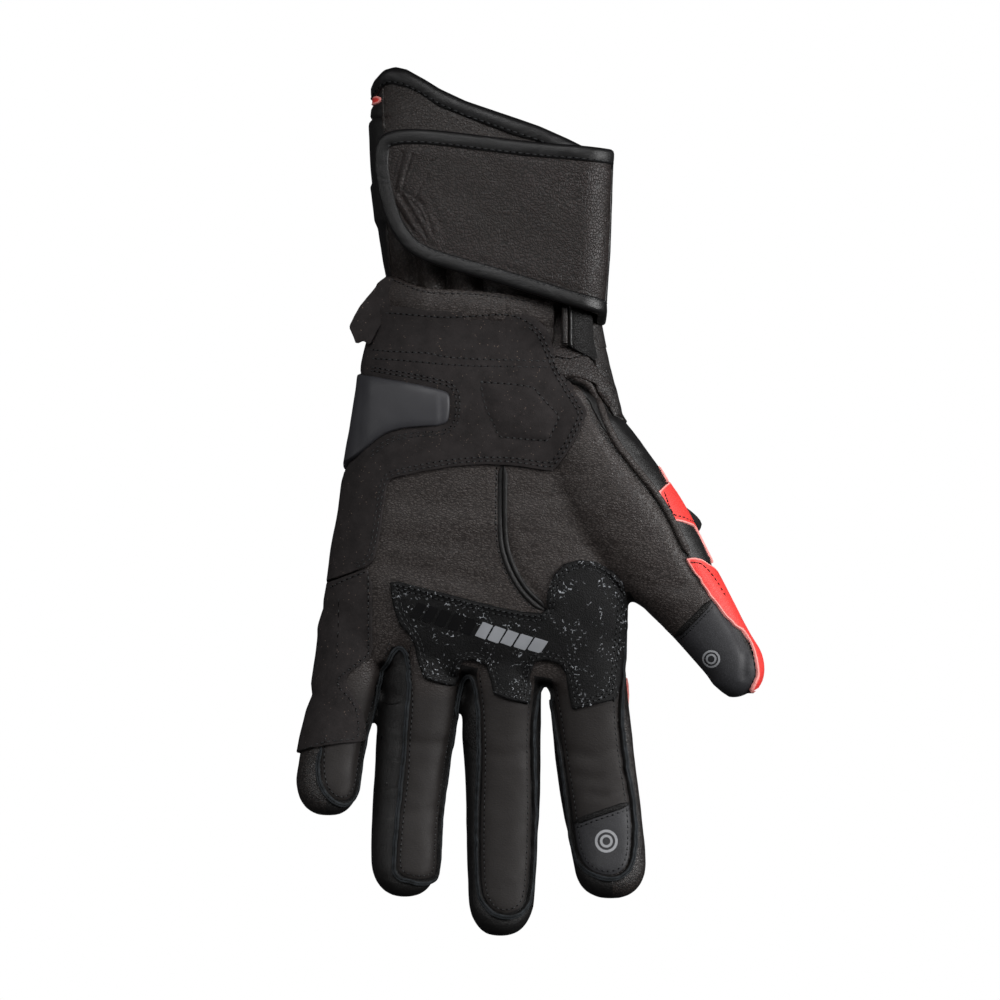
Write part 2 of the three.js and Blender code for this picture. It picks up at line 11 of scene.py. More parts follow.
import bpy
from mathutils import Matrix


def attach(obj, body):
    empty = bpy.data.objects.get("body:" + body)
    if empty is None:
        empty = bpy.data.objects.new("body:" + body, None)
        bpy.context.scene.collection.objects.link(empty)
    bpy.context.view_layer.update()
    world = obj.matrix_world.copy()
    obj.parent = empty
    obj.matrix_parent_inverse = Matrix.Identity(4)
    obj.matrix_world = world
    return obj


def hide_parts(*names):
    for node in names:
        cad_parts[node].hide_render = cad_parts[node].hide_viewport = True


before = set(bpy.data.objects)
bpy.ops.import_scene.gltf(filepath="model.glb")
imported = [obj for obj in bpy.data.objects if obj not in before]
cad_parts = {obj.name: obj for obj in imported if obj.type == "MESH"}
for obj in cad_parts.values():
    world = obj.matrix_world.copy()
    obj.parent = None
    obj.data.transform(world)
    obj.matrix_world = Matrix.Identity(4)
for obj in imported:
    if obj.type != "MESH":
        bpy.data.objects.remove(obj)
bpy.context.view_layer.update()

import math
from functools import partial

import bpy
import numpy as np
from mathutils import Vector, geometry
from mathutils.bvhtree import BVHTree

MM = 0.001
UNIT = 0.36  # one unit of the 1000 x 1000 drawing, in mm


def drawn(points):
    """Points of the drawing as millimetres in the part's frame."""
    p = np.array(points, float)
    return np.column_stack(((p[:, 0] - 526.5) * UNIT, (501 - p[:, 1]) * UNIT))


# %% [markdown]
# ## The form in tables
#
# A hand is hard to model freely but easy to describe in slices. Each row is one slice across the cuff and the
# hand, or across a digit. They are the rows of the CAD model with a few more between them, so both agree.

# %% Section tables
# y, left, right, back, front, squareness, skew
BODY = [
    (165.0, -54.6, 28.6, 1.6, 48.0, 2.7, 0), (150.0, -54.8, 28.9, 1.6, 48.5, 2.7, 0),
    (137.0, -55.4, 28.9, 1.6, 49.0, 2.7, 0), (122.0, -55.6, 28.8, 1.6, 49.0, 2.7, 0),
    (108.0, -54.9, 28.4, 1.6, 49.0, 2.7, 0), (90.0, -52.4, 27.2, 1.6, 45.6, 2.6, 0),
    (78.0, -50.4, 25.6, 2.5, 40.6, 2.5, 0), (69.0, -51.9, 25.2, 3.5, 39.8, 2.5, 0),
    (58.0, -56.0, 27.0, 4.0, 42.6, 2.6, 0), (45.0, -58.9, 30.0, 4.5, 46.0, 2.7, 0),
    (30.0, -61.3, 33.8, 5.0, 46.5, 2.8, 0), (8.0, -65.0, 34.0, 6.0, 44.0, 2.9, 0),
    (-7.0, -67.1, 34.2, 6.3, 43.0, 3.0, 1), (-21.0, -69.6, 35.6, 6.8, 41.5, 3.0, 3),
    (-36.0, -71.3, 36.8, 7.5, 40.0, 3.0, 6), (-50.0, -73.3, 36.4, 9.5, 37.0, 2.9, 10),
    (-62.0, -73.3, 35.0, 13.0, 33.0, 2.7, 13),
]
# x, y, z, half width, half depth of each section, then the point of the tip
DIGITS = {
    "little": [
        (-61.3, -44, 22, 11.3, 12), (-65.6, -71, 21.7, 11.4, 11.9), (-69.6, -88, 23, 11.3, 11.5),
        (-71.4, -101, 26, 11.5, 11.1), (-72.3, -113.2, 29),
    ],
    "ring": [
        (-36.9, -50, 22.5, 13.4, 12.5), (-39.4, -78.8, 21.5, 14.2, 12.4), (-42.0, -100.4, 23, 13.2, 12),
        (-43.4, -118.4, 26, 12.6, 11.8), (-43.7, -128.5, 28.3, 12.3, 11.5), (-44.3, -142.4, 31.5),
    ],
    "middle": [
        (-8.5, -52, 22.5, 14, 12.6), (-8.9, -82.4, 21.5, 14.2, 12.5), (-8.5, -107.6, 23, 13.4, 12.2),
        (-8.8, -129.2, 26.5, 12.6, 11.9), (-9.1, -142, 29.5, 11.9, 11.5), (-9.3, -156.4, 32.5),
    ],
    "index": [
        (20.8, -50, 22.5, 13.8, 12.6), (23.5, -82.4, 21.5, 14.3, 12.4), (26.7, -107.6, 23.3, 14.1, 12.2),
        (29.2, -123.8, 26.3, 13.5, 12), (30.1, -130.5, 28, 13, 11.8), (31.2, -143, 30.5),
    ],
    "thumb": [
        (9, 40, 26, 14.5, 18), (17.5, 22, 27, 18.3, 19), (30.1, 0.4, 27, 20.8, 17.5), (43.7, -16.9, 26, 18.6, 15.2),
        (60.1, -37.6, 26, 12.8, 13), (67.9, -49.3, 26.8, 10.9, 12), (74.3, -58.3, 27.5, 9.9, 11.2), (78.4, -69.8, 29),
    ],
}
print(len(BODY), "sections of the hand and cuff,", sum(len(rows) for rows in DIGITS.values()), "of the five digits")

# %% [markdown]
# ## Lofts
#
# A loft joins the slices with quads. A smooth curve through the rows gives the slices between them, so the sides
# have no kinks, and each digit ends in a quarter ellipse.

# %% Lofts through the sections
def curve_through(rows, count):
    """Rows of numbers resampled on a Catmull-Rom curve."""
    rows = np.array(rows, float)
    last = len(rows) - 1
    t = np.linspace(0, last, count)
    i = np.clip(t.astype(int), 0, last - 1)
    f = (t - i)[:, None]
    a, b, c, d = (rows[np.clip(i + k, 0, last)] for k in (-1, 0, 1, 2))
    return b + 0.5 * f * (c - a + f * (2 * a - 5 * b + 4 * c - d + f * (3 * (b - c) + d - a)))


def ellipse_points(sides, power):
    angle = np.linspace(0, 2 * math.pi, sides, endpoint=False)
    cos, sin = np.cos(angle), np.sin(angle)
    return np.sign(cos) * abs(cos) ** power, np.sign(sin) * abs(sin) ** power


def body_rings(inset, count=90, sides=96):
    rings = []
    table = curve_through(BODY, count)
    for index, (y, left, right, back, front, square, skew) in enumerate(table):
        cos, sin = ellipse_points(sides, 2 / square)
        half = (right - left) / 2
        x = (left + right) / 2 + (half - inset) * cos
        z = (back + front) / 2 + ((front - back) / 2 - inset) * sin
        lean = -skew * (half - inset) * cos / (2 * half)
        rings.append(np.column_stack((x, y + lean + (inset if index == count - 1 else 0), z)))
    return rings


def digit_rings(rows, inset, count=34, sides=48):
    """Sections stand across the digit's own direction, upright, and its tip is a quarter ellipse."""
    tip = np.array(rows[-1], float)
    table = curve_through(rows[:-1], count)
    centres = np.vstack((table[:, :3], tip))
    cos, sin = ellipse_points(sides, 0.86)
    rings = []
    for i in range(count):
        along = centres[i + 1, :2] - centres[max(i - 1, 0), :2]
        along /= np.linalg.norm(along)
        rings.append((centres[i], along, table[i, 3] - inset, table[i, 4] - inset))
    centre, along, width, depth = rings[-1]
    reach = (tip - centre) * (1 - inset / np.linalg.norm(tip - centre))
    for angle in np.linspace(0, math.pi / 2, 12)[1:]:
        shrink = max(math.cos(angle) ** 0.8, 0.02)
        rings.append((centre + reach * math.sin(angle), along, width * shrink, depth * shrink))
    return [
        np.column_stack((c[0] - a[1] * w * cos, c[1] + a[0] * w * cos, c[2] + d * sin)) for c, a, w, d in rings
    ]


def mesh_from(vertices, faces, name="mesh"):
    """A Blender mesh in metres from millimetre vertices."""
    mesh = bpy.data.meshes.new(name)
    mesh.from_pydata((np.asarray(vertices) * MM).tolist(), [], faces)
    return mesh


def loft_mesh(ring_sets):
    vertices, faces = [], []
    for rings in ring_sets:
        start, sides = len(vertices), len(rings[0])
        for ring in rings:
            vertices.extend(ring)
        for r in range(len(rings) - 1):
            for s in range(sides):
                a, b = start + r * sides + s, start + r * sides + (s + 1) % sides
                faces.append((a, a + sides, b + sides, b))
        faces.append([start + s for s in range(sides)])
        faces.append([start + (len(rings) - 1) * sides + s for s in reversed(range(sides))])
    return mesh_from(vertices, faces)


print(len(body_rings(0)), "rings for the hand and cuff,", len(digit_rings(DIGITS["thumb"], 0)), "for the thumb")

# %% [markdown]
# ## Blender's modifiers as tools
#
# Two small helpers do all the modelling with Blender's own modifiers. `modified` applies a stack of them to a
# mesh and gives the result back. `carve` joins and cuts closed meshes with the Manifold boolean solver, which is
# fast and leaves no open edges.

# %% Modifiers and booleans on plain meshes
FAR_BELOW, FAR_ABOVE = -20, 90  # cutting columns reach past the glove's bottom and top, in mm


def modified(mesh, *modifiers):
    holder = bpy.data.objects.new("holder", mesh)
    bpy.context.scene.collection.objects.link(holder)
    for kind, settings in modifiers:
        modifier = holder.modifiers.new(kind, kind)
        for key, value in settings.items():
            setattr(modifier, key, value)
    depsgraph = bpy.context.evaluated_depsgraph_get()
    result = bpy.data.meshes.new_from_object(holder.evaluated_get(depsgraph))
    bpy.data.objects.remove(holder)
    return result


def carve(mesh, *steps):
    """steps are (operation, mesh) pairs, such as ("DIFFERENCE", column)."""
    tools = []
    modifiers = []
    for operation, other in steps:
        tool = bpy.data.objects.new("tool", other)
        bpy.context.scene.collection.objects.link(tool)
        tools.append(tool)
        modifiers.append(("BOOLEAN", {"operation": operation, "object": tool, "solver": "MANIFOLD"}))
    result = modified(mesh, *modifiers)
    for tool in tools:
        bpy.data.objects.remove(tool)
    return result


def turning(line):
    """Twice the area inside a closed line, above zero if it runs counterclockwise."""
    x, y = np.asarray(line, float).T
    return np.sum(x * np.roll(y, -1) - np.roll(x, -1) * y)


def leftwards(line):
    """A closed line, run counterclockwise."""
    line = np.asarray(line, float)
    return line if turning(line) > 0 else line[::-1]


def column(outline, low=FAR_BELOW, high=FAR_ABOVE):
    """An upright prism over a closed outline in mm."""
    outline = leftwards(outline)
    n = len(outline)
    vertices = np.vstack([np.column_stack((outline, np.full(n, z))) for z in (low, high)])
    faces = [list(range(n))[::-1], list(range(n, 2 * n))]
    faces += [(i, (i + 1) % n, n + (i + 1) % n, n + i) for i in range(n)]
    return mesh_from(vertices, faces)


def arrays(mesh):
    """Vertices and vertex normals in mm and the triangles of a mesh."""
    v = np.empty(len(mesh.vertices) * 3)
    mesh.vertices.foreach_get("co", v)
    n = np.empty(len(mesh.vertices) * 3)
    mesh.vertex_normals.foreach_get("vector", n)
    mesh.calc_loop_triangles()
    t = np.empty(len(mesh.loop_triangles) * 3, int)
    mesh.loop_triangles.foreach_get("vertices", t)
    return v.reshape(-1, 3) / MM, n.reshape(-1, 3), t.reshape(-1, 3)


print("tools ready: modified, carve, column, arrays")

# %% [markdown]
# ## Pattern pieces
#
# A glove is cut from flat leather, so the outlines of its pieces are drawn flat too, on a 1000 x 1000 sheet seen
# straight from above, one unit 0.36 mm. Front panels of the fingers end in a U and their seams are sewn with the
# cut edges outside.

# %% Outlines of the leather panels
FINGER_FRONTS = {
    "little": [
        (345, 630), (333, 680), (326, 715), (321, 748), (322, 782), (334, 799), (349, 800), (358, 786), (361, 762),
        (367, 732), (377, 697), (388, 656), (398, 630),
    ],
    "ring": [
        (402, 630), (411, 697), (407, 736), (406, 774), (401, 812), (397, 860), (399, 872), (415, 878), (431, 877),
        (437, 872), (438, 831), (441, 803), (447, 764), (454, 726), (459, 697), (464, 660),
    ],
    "middle": [
        (474, 655), (481, 707), (483, 755), (481, 812), (481, 870), (484, 896), (494, 909), (507, 912), (520, 907),
        (526, 896), (529, 870), (531, 812), (530, 774), (530, 717), (538, 660),
    ],
    "index": [
        (548, 660), (558, 713), (566, 766), (574, 819), (577, 847), (584, 863), (595, 871), (611, 874), (624, 868),
        (630, 854), (631, 822), (628, 797), (620, 748), (617, 715), (616, 660),
    ],
}
PALM = [
    (388, 334), (377, 370), (368, 430), (356, 490), (347, 545), (342, 600), (345, 640), (400, 646), (470, 668),
    (542, 676), (616, 690), (619, 640), (614, 604), (582, 604), (549, 608), (520, 575), (505, 540), (500.5, 501),
    (500.5, 334),
]
THUMB = [
    (500.5, 334), (500.5, 501), (505, 540), (520, 575), (549, 608), (582, 604), (614, 604), (628, 588), (634, 600),
    (660, 632), (690, 668), (716, 698), (738, 706), (752, 696), (756, 676), (751, 655), (733, 625), (712, 596),
    (697, 580), (684, 556), (676, 540), (668, 522), (652, 497), (630, 471), (605, 440), (586, 414), (579, 334),
]
BACK = [
    (382, 334), (377, 370), (368, 430), (356, 490), (347, 545), (337, 600), (337, 640), (345, 668), (388, 661),
    (402, 645), (416, 662), (427, 684), (452, 680), (464, 657), (476, 680), (500, 692), (530, 690), (544, 668),
    (560, 692), (586, 702), (612, 690), (618, 612), (610, 550), (598, 487), (590, 418), (583, 334),
]
CUFF_FRONT = [
    (390, 334), (391, 285), (386, 200), (384, 100), (384, 30), (590, 30), (590, 200), (585, 285), (585, 334),
]
MOUTH = drawn([
    (343, 112), (362, 101), (371, 90), (377, 80), (385, 72), (394, 70), (406, 73), (424, 83), (440, 93), (466, 105),
    (504, 118), (540, 130), (568, 142), (598, 156), (625, 168), (660, 184),
])
print(f"palm panel {np.ptp(drawn(PALM)[:, 0]):.0f} mm wide, mouth of the cuff {np.ptp(MOUTH[:, 0]):.0f} mm")

# %% [markdown]
# ## Folds
#
# Worn leather creases where the hand bends and gathers where it is drawn in. Each fold is a drawn line with a
# width and a depth in millimetres, and a negative depth raises it. They only move what faces up, so the back of
# the glove stays as it is.

# %% Folds
FOLDS = [
    # gathers of the cuff below the flap
    ([(404, 238), (412, 262), (416, 300)], 2.2, 2.2), ([(443, 250), (446, 275), (447, 300)], 2.4, 3.2),
    ([(484, 262), (484, 285), (482, 300)], 2.6, 2.2), ([(427, 245), (429, 290)], 3.0, -1.8),
    ([(463, 252), (465, 292)], 3.4, -2.0), ([(510, 268), (514, 300)], 3.5, -1.0),
    # right of the heel patch, down to the thumb
    ([(566, 381), (583, 386), (602, 399), (616, 415)], 1.4, 2.2),
    ([(610, 420), (622, 434), (638, 450)], 1.6, -0.6), ([(616, 410), (626, 427), (640, 443)], 0.9, -0.5),
    # palm and ball of the thumb
    ([(520, 470), (540, 476), (575, 474)], 3.0, 0.3), ([(520, 492), (560, 496), (600, 488)], 3.5, 0.3),
    ([(556, 520), (590, 526), (622, 520)], 3.4, 0.25), ([(560, 540), (600, 548), (640, 545)], 3.4, 0.25),
    ([(618, 560), (640, 570), (664, 572)], 2.4, 0.35), ([(628, 578), (650, 586), (672, 583)], 2.2, 0.4),
    ([(400, 500), (440, 505), (480, 502)], 4.0, 0.35), ([(396, 540), (440, 545), (490, 540)], 4.0, 0.35),
    ([(392, 565), (430, 572), (480, 582)], 3.5, 0.4),
    # knuckle creases
    ([(412, 742), (430, 745), (448, 742)], 2.4, 0.5), ([(487, 752), (505, 756), (526, 752)], 2.4, 0.4),
    ([(568, 752), (592, 757), (618, 750)], 2.6, 0.5), ([(575, 775), (600, 780), (624, 773)], 2.4, 0.4),
    ([(590, 793), (610, 797), (626, 790)], 2.0, 0.5), ([(406, 810), (420, 813), (438, 808)], 2.4, 0.35),
    ([(655, 604), (672, 590), (690, 584)], 2.2, 0.5),
]
OUTSEAM = drawn([
    (322, 746), (318, 764), (320, 784), (334, 802), (350, 803), (357, 787), (358.5, 764), (363.5, 738), (369.5, 717),
    (376, 697), (382, 677), (390, 656), (399.5, 645), (407, 653), (410, 674), (409, 697), (405, 736), (403, 774),
    (398, 812), (394, 860), (396, 875), (415, 881), (430, 881), (437, 874), (438, 831), (441, 803), (446, 764),
    (453, 726), (458.5, 699), (463.5, 682), (470.5, 673), (476, 682), (479, 707), (480, 755), (478, 812), (478, 870),
    (481, 898), (493, 912), (507, 916), (522, 911), (529, 898), (532, 870), (534, 812), (533, 774), (532, 722),
    (536, 694), (542, 683), (549, 692), (556, 715), (564, 766), (571, 819), (574, 849), (582, 866), (594, 874),
    (611, 878), (627, 871), (633, 856), (634, 822), (631, 797), (623, 750), (620, 716), (621, 690), (623, 640),
    (624, 604),
])
SEAM_DIPS = [
    ([(500.5, 470), (500.5, 501), (505, 540), (520, 575), (549, 608)], 1.6, 0.8),
    ([
        (566, 379), (583, 383), (605, 440), (630, 471), (652, 497), (668, 522), (676, 540), (684, 556), (697, 580),
        (712, 596), (733, 625), (745, 652), (744, 676),
    ], 1.5, 0.8),
]
print(len(FOLDS), "folds, the deepest", max(depth for _, _, depth in FOLDS), "mm, and", len(SEAM_DIPS), "seam dips")

# %% [markdown]
# Two measures shape every fold and cut edge: how far a place is from a drawn line, and a smooth noise. The noise
# comes from the place alone and not from a random draw, so it is the same on every run.

# %% Distance and noise
def distance_to(points, line, closed=False):
    """Distance of each (x, y) to a polyline."""
    line = np.asarray(line, float)
    ends = np.vstack((line[1:], line[:1])) if closed else line[1:]
    starts = line if closed else line[:-1]
    best = np.full(len(points), 1e9)
    for a, b in zip(starts, ends):
        ab = b - a
        t = np.clip(((points - a) @ ab) / max(ab @ ab, 1e-9), 0, 1)
        best = np.minimum(best, np.hypot(*(points - a - t[:, None] * ab).T))
    return best


def lattice_noise(points, cell, seed=0):
    """Smooth noise from -1 to 1 with the given cell size in mm, the same on every run."""
    p = np.asarray(points, float) / cell
    base = np.floor(p).astype(np.int64)
    f = p - base
    f = f * f * (3 - 2 * f)
    total = np.zeros(len(p))
    for corner in np.ndindex(*(2,) * p.shape[1]):
        index = base + np.array(corner)
        primes = np.array([73856093, 19349663, 83492791])[: p.shape[1]]
        value = np.sin(((index * primes).sum(axis=1) % 100003 + seed * 131) * 12.9898) * 43758.5453
        weight = np.prod(np.where(np.array(corner), f, 1 - f), axis=1)
        total += weight * ((value - np.floor(value)) * 2 - 1)
    return total


def groove(distance, width):
    """1 on a line, falling off smoothly over the width."""
    return np.exp(-((distance / width) ** 2))


print("noise at 1, 2, 3 mm:", np.round(lattice_noise([[1.0, 2.0, 3.0]], 12, 1), 3).tolist())

# %% [markdown]
# ## Skin, hollow and shell
#
# The real glove is a bag that a hand goes into. A voxel remesh melts the lofts of hand and digits into one skin,
# and a little smoothing rounds the webs between the fingers. The same form, 2.4 mm smaller, is cut out of it
# together with everything beyond the cuff's mouth, and what is left is the leather wall that all panels come from.

# %% Skin, hollow and shell
def joined_form(inset, voxel, smoothing, digits=tuple(DIGITS)):
    rings = [body_rings(inset)] + [digit_rings(DIGITS[name], inset) for name in digits]
    return modified(
        loft_mesh(rings),
        ("REMESH", {"mode": "VOXEL", "voxel_size": voxel * MM}),
        ("SMOOTH", {"factor": 0.5, "iterations": smoothing}),
    )


# pads and grooves on the little finger's side: places along the glove, then heights, in mm
CUFF_PADS = [98, 101, 113, 114.5, 136, 137.5, 138.5, 141, 143], [0, 0.9, 1.1, 0.3, 1.5, 0.3, 1.0, 0.9, 0]
LITTLE_FINGER_PADS = [-76, -73, -70, -66, -58, -46, -39, -36], [0, -0.5, -1.1, 0, 0.2, 0.8, -0.5, 0]
DEEPEST = 3.6  # no fold goes deeper than this, in mm


def folded(mesh):
    """Presses the folds into a form and makes its faces slightly uneven, like stuffed leather."""
    v, n, _ = arrays(mesh)
    facing = np.clip(n[:, 2] * 1.6 + 0.2, 0, 1)
    shift = 0.22 * lattice_noise(v, 12, 1) + 0.12 * lattice_noise(v, 5, 2)
    for line, width, depth in FOLDS + SEAM_DIPS:
        shift -= depth * facing * groove(distance_to(v[:, :2], drawn(line)), width)
    shift -= 0.7 * facing * groove(distance_to(v[:, :2], OUTSEAM), 1.7)
    padded = np.interp(v[:, 1], *CUFF_PADS) + np.interp(v[:, 1], *LITTLE_FINGER_PADS)
    shift += padded * np.clip(-n[:, 0] * 1.5 - 0.3, 0, 1)
    mesh.vertices.foreach_set("co", ((v + n * np.maximum(shift, -DEEPEST)[:, None]) * MM).ravel())
    mesh.update()
    return mesh


VOXEL = 1.15
WALL = 2.4
skin = folded(joined_form(0, VOXEL, 7))
hollow = folded(joined_form(WALL, 2.0, 3))
mouth_cut = column(np.vstack((MOUTH - [0, 1.0], [[90, 200], [-90, 200]])))
shell = carve(skin, ("DIFFERENCE", hollow), ("DIFFERENCE", mouth_cut))
print(f"skin {len(skin.polygons):,} faces, leather wall {WALL} mm with {len(shell.polygons):,} faces")

# %% [markdown]
# ## Finding the surface
#
# Everything that lies on the skin is drawn flat and then looked up on it by casting rays from above. A tree of
# the triangles makes that quick, and the normal is blended from the three corners, so overlays stay smooth.

# %% Surfaces found by rays
MIDDLE_Z = 26  # height of the glove's middle, where front and back panels meet, in mm
RAYS_FROM = 120  # rays are cast down from this height, in mm


class Surface:
    def __init__(self, *meshes):
        vertices, normals, triangles = [], [], []
        for mesh in meshes:
            v, n, t = arrays(mesh)
            triangles.append(t + sum(len(x) for x in vertices))
            vertices.append(v)
            normals.append(n)
        self.v, self.n, self.t = map(np.vstack, (vertices, normals, triangles))
        self.tree = BVHTree.FromPolygons(self.v.tolist(), self.t.tolist())

    def hit(self, origin, direction, reach=RAYS_FROM - MIDDLE_Z):
        """Where a ray meets the surface, or the nearest place to its point at that reach."""
        spare = 30
        place, _, index, _ = self.tree.ray_cast(Vector(origin), Vector(direction), reach + spare)
        if place is None:
            place, _, index, _ = self.tree.find_nearest(Vector(origin) + Vector(direction) * reach)
        corners = self.v[self.t[index]]
        p = np.array(place)
        areas = [
            np.linalg.norm(np.cross(corners[(k + 1) % 3] - p, corners[(k + 2) % 3] - p)) + 1e-9 for k in range(3)
        ]
        normal = (self.n[self.t[index]] * np.array(areas)[:, None]).sum(axis=0)
        return p, normal / np.linalg.norm(normal)

    def under(self, x, y):
        """Place and normal of what shows from above at x, y."""
        return self.hit((x, y, RAYS_FROM), (0, 0, -1))


print("a surface answers with a place and a normal")

# %% [markdown]
# A patch often runs on past the silhouette and round the side of the glove. A `Side` turns its rays about an axis
# inside the form there, so a drawing keeps its length as it goes round, as real leather does.

# %% Drawings that go round a side
class Side:
    """Wraps a drawing round the side that faces the given direction, in degrees from +X."""

    def __init__(self, degrees, radius, surface):
        a = math.radians(degrees)
        self.out = np.array([math.cos(a), math.sin(a)])
        self.along = np.array([-math.sin(a), math.cos(a)])
        self.radius = radius
        plan = surface.v[:, :2]
        out, along = plan @ self.out, plan @ self.along
        self.grid = np.arange(along.min(), along.max(), 2.0)
        edge = np.array([out[abs(along - g) < 2.5].max() for g in self.grid])
        self.edge = np.convolve(np.pad(edge, 3, mode="edge"), np.ones(7) / 7, "valid")

    def edge_at(self, along):
        return np.interp(along, self.grid, self.edge)

    def flatten(self, points):
        """Plan (x, y) to (distance round the surface, distance along it)."""
        out, along = points @ self.out, points @ self.along
        edge = self.edge_at(along)
        turn = edge - self.radius
        inside = np.arcsin(np.clip((out - turn) / self.radius, 0, 1)) * self.radius
        beyond = np.maximum(out - edge, 0)
        return np.column_stack((np.where(out <= turn, out, turn + inside + beyond), along))

    def look_up(self, surface, round_distance, along):
        turn = self.edge_at(along) - self.radius
        flat = self.out * min(round_distance, turn) + self.along * along
        place, normal = surface.under(*flat)
        if round_distance <= turn:
            return place, normal
        angle = (round_distance - turn) / self.radius
        centre = np.array((*flat, place[2] - self.radius))
        direction = np.array((*(self.out * math.sin(angle)), math.cos(angle)))
        clear = 12  # the rays start this far outside the form, in mm
        return surface.hit(centre + direction * (self.radius + clear), -direction, clear + 4)


print("a side wraps a drawing beyond the silhouette")

# %% [markdown]
# The strap and the flap don't lie on the skin: they bridge hollows as stiff leather does. A `Sheet` gives their
# height by a formula, and `Rolled` is the flap's own form, flat over the cuff and rolled round its thumb side.

# %% Sheets off the skin
class Sheet:
    """A stiff sheet that isn't laid on the skin: its height is a function of x and y."""

    def __init__(self, height):
        self.height = height

    def under(self, x, y):
        z = self.height(x, y)
        slope = np.array((z - self.height(x + 0.1, y), z - self.height(x, y + 0.1), 0.1))
        return np.array((x, y, z)), slope / np.linalg.norm(slope)


class Rolled:
    """The flap's form: flat over the cuff, drooping at its end, then rolled round the thumb side."""

    out, along, radius = np.array([1.0, 0.0]), np.array([0.0, 1.0]), 8.5
    top, end = 50.3, -33  # height above the floor, and where the end begins to droop

    def turn(self, y):
        return np.interp(y, [60, 66, 90, 125], [26.6, 28.3, 30.0, 31.1]) - self.radius - 2.4

    def flatten(self, points):
        turn = self.turn(points[:, 1])
        edge = turn + self.radius
        arc = np.arcsin(np.clip((points[:, 0] - turn) / self.radius, 0, 1)) * self.radius
        beyond = np.maximum(points[:, 0] - edge, 0)
        return np.column_stack((np.where(points[:, 0] < turn, points[:, 0], turn + arc + beyond), points[:, 1]))

    def look_up(self, _, s, y):
        turn = self.turn(y)
        if s <= turn:
            past = max(self.end - s, 0)
            slope = np.array((-0.019 * past, 0, 1))
            return np.array((s, y, self.top - 0.0095 * past**2)), slope / np.linalg.norm(slope)
        a = min((s - turn) / self.radius, math.pi / 2)
        down = max(s - turn - self.radius * math.pi / 2, 0)
        normal = np.array((math.sin(a), 0, math.cos(a)))
        centre = np.array((turn, y, self.top - self.radius))
        return centre + normal * self.radius - (0, 0, down), normal


print(f"the flap lies {Rolled.top} mm above the floor and rolls with a radius of {Rolled.radius} mm")

# %% [markdown]
# These are the surfaces of this glove: the whole skin with its left and right side, and the thumb alone, whose
# side faces the fingers' way.

# %% The glove's own surfaces
skin_surface = Surface(skin)
LEFT = Side(180, 15, skin_surface)
RIGHT = Side(0, 15, skin_surface)
thumb_surface = Surface(folded(joined_form(0, 1.4, 5, ("thumb",))))
THUMB_SIDE = Side(26, 11, thumb_surface)


def look_up(surface, side, points):
    """Points of the drawing, flattened if there is a side, as places and normals on the surface."""
    found = [side.look_up(surface, *p) if side else surface.under(*p[:2]) for p in points]
    return np.array([f[0] for f in found]), np.array([f[1] for f in found])


for part, x in (("palm", 0), ("ball of the thumb", 30)):
    print(f"top of the {part}: {skin_surface.under(x, 0)[0][2]:.1f} mm")

# %% [markdown]
# ## Line tools
#
# Every seam starts as a few drawn points. These helpers space them evenly, round their corners by cutting them
# off, and move a line sideways, as a maker marks a stitch line parallel to an edge.

# %% Line tools
def resample(line, step, closed=False):
    line = np.asarray(line, float)
    if closed:
        line = np.vstack((line, line[:1]))
    lengths = np.concatenate(([0], np.cumsum(np.linalg.norm(np.diff(line, axis=0)[:, :3], axis=1))))
    count = max(int(round(lengths[-1] / step)), 3)
    s = np.linspace(0, lengths[-1], count + 1)
    points = np.column_stack([np.interp(s, lengths, line[:, k]) for k in range(line.shape[1])])
    return points[:-1] if closed else points


def smooth_line(line, closed=False, rounds=2):
    """Rounds a polyline's corners by cutting them off."""
    line = np.asarray(line, float)
    for _ in range(rounds):
        ends = np.roll(line, -1, axis=0) if closed else line[1:]
        starts = line if closed else line[:-1]
        cut = np.stack((0.75 * starts + 0.25 * ends, 0.25 * starts + 0.75 * ends), axis=1).reshape(-1, 2)
        line = cut if closed else np.vstack((line[:1], cut, line[-1:]))
    return line


def directions(line, closed=False):
    """Where a line runs to at each of its points, not yet of length 1."""
    return np.roll(line, -1, axis=0) - np.roll(line, 1, axis=0) if closed else np.gradient(line, axis=0)


def offset_line(line, distance, closed=False):
    """A polyline moved to its left by a distance in mm."""
    line = np.asarray(line, float)
    tangent = directions(line, closed)
    tangent /= np.maximum(np.hypot(*tangent.T), 1e-9)[:, None]
    return line + np.column_stack((-tangent[:, 1], tangent[:, 0])) * distance


def rounded(outline, step):
    """A closed outline with its corners rounded and its points evenly spaced."""
    return resample(smooth_line(outline, True), step, True)


def drawn_shrunk(line, by):
    """A closed line moved inwards."""
    return offset_line(line, by if turning(line) > 0 else -by, True)


print(f"the outseam is {np.linalg.norm(np.diff(OUTSEAM, axis=0), axis=1).sum():.0f} mm long")

# %% [markdown]
# ## Patches
#
# A `patch` is a flat-cut piece of leather. Its outline is filled with an even mesh by constrained triangulation,
# because a plain grid would leave a saw-toothed edge. It is then lifted off the surface by its thickness, rounded
# at its cut edge and closed underneath.

# %% Filling an outline
def inside(points, outline):
    x, y = points.T
    result = np.zeros(len(points), bool)
    for (ax, ay), (bx, by) in zip(outline, np.roll(outline, -1, axis=0)):
        if ay != by:
            result ^= ((ay > y) != (by > y)) & (x < (bx - ax) * (y - ay) / (by - ay) + ax)
    return result


def even_points(low_x, low_y, high_x, high_y, spacing):
    """Points of a triangular grid in a box."""
    row_height = spacing * 0.87
    x, row = np.meshgrid(np.arange(low_x, high_x, spacing), np.arange(0, (high_y - low_y) / row_height))
    return np.column_stack(((x + row % 2 * spacing / 2).ravel(), (low_y + row * row_height).ravel()))


print("a grid of 1 mm in a 10 mm square has", len(even_points(0, 0, 10, 10, 1.0)), "points")

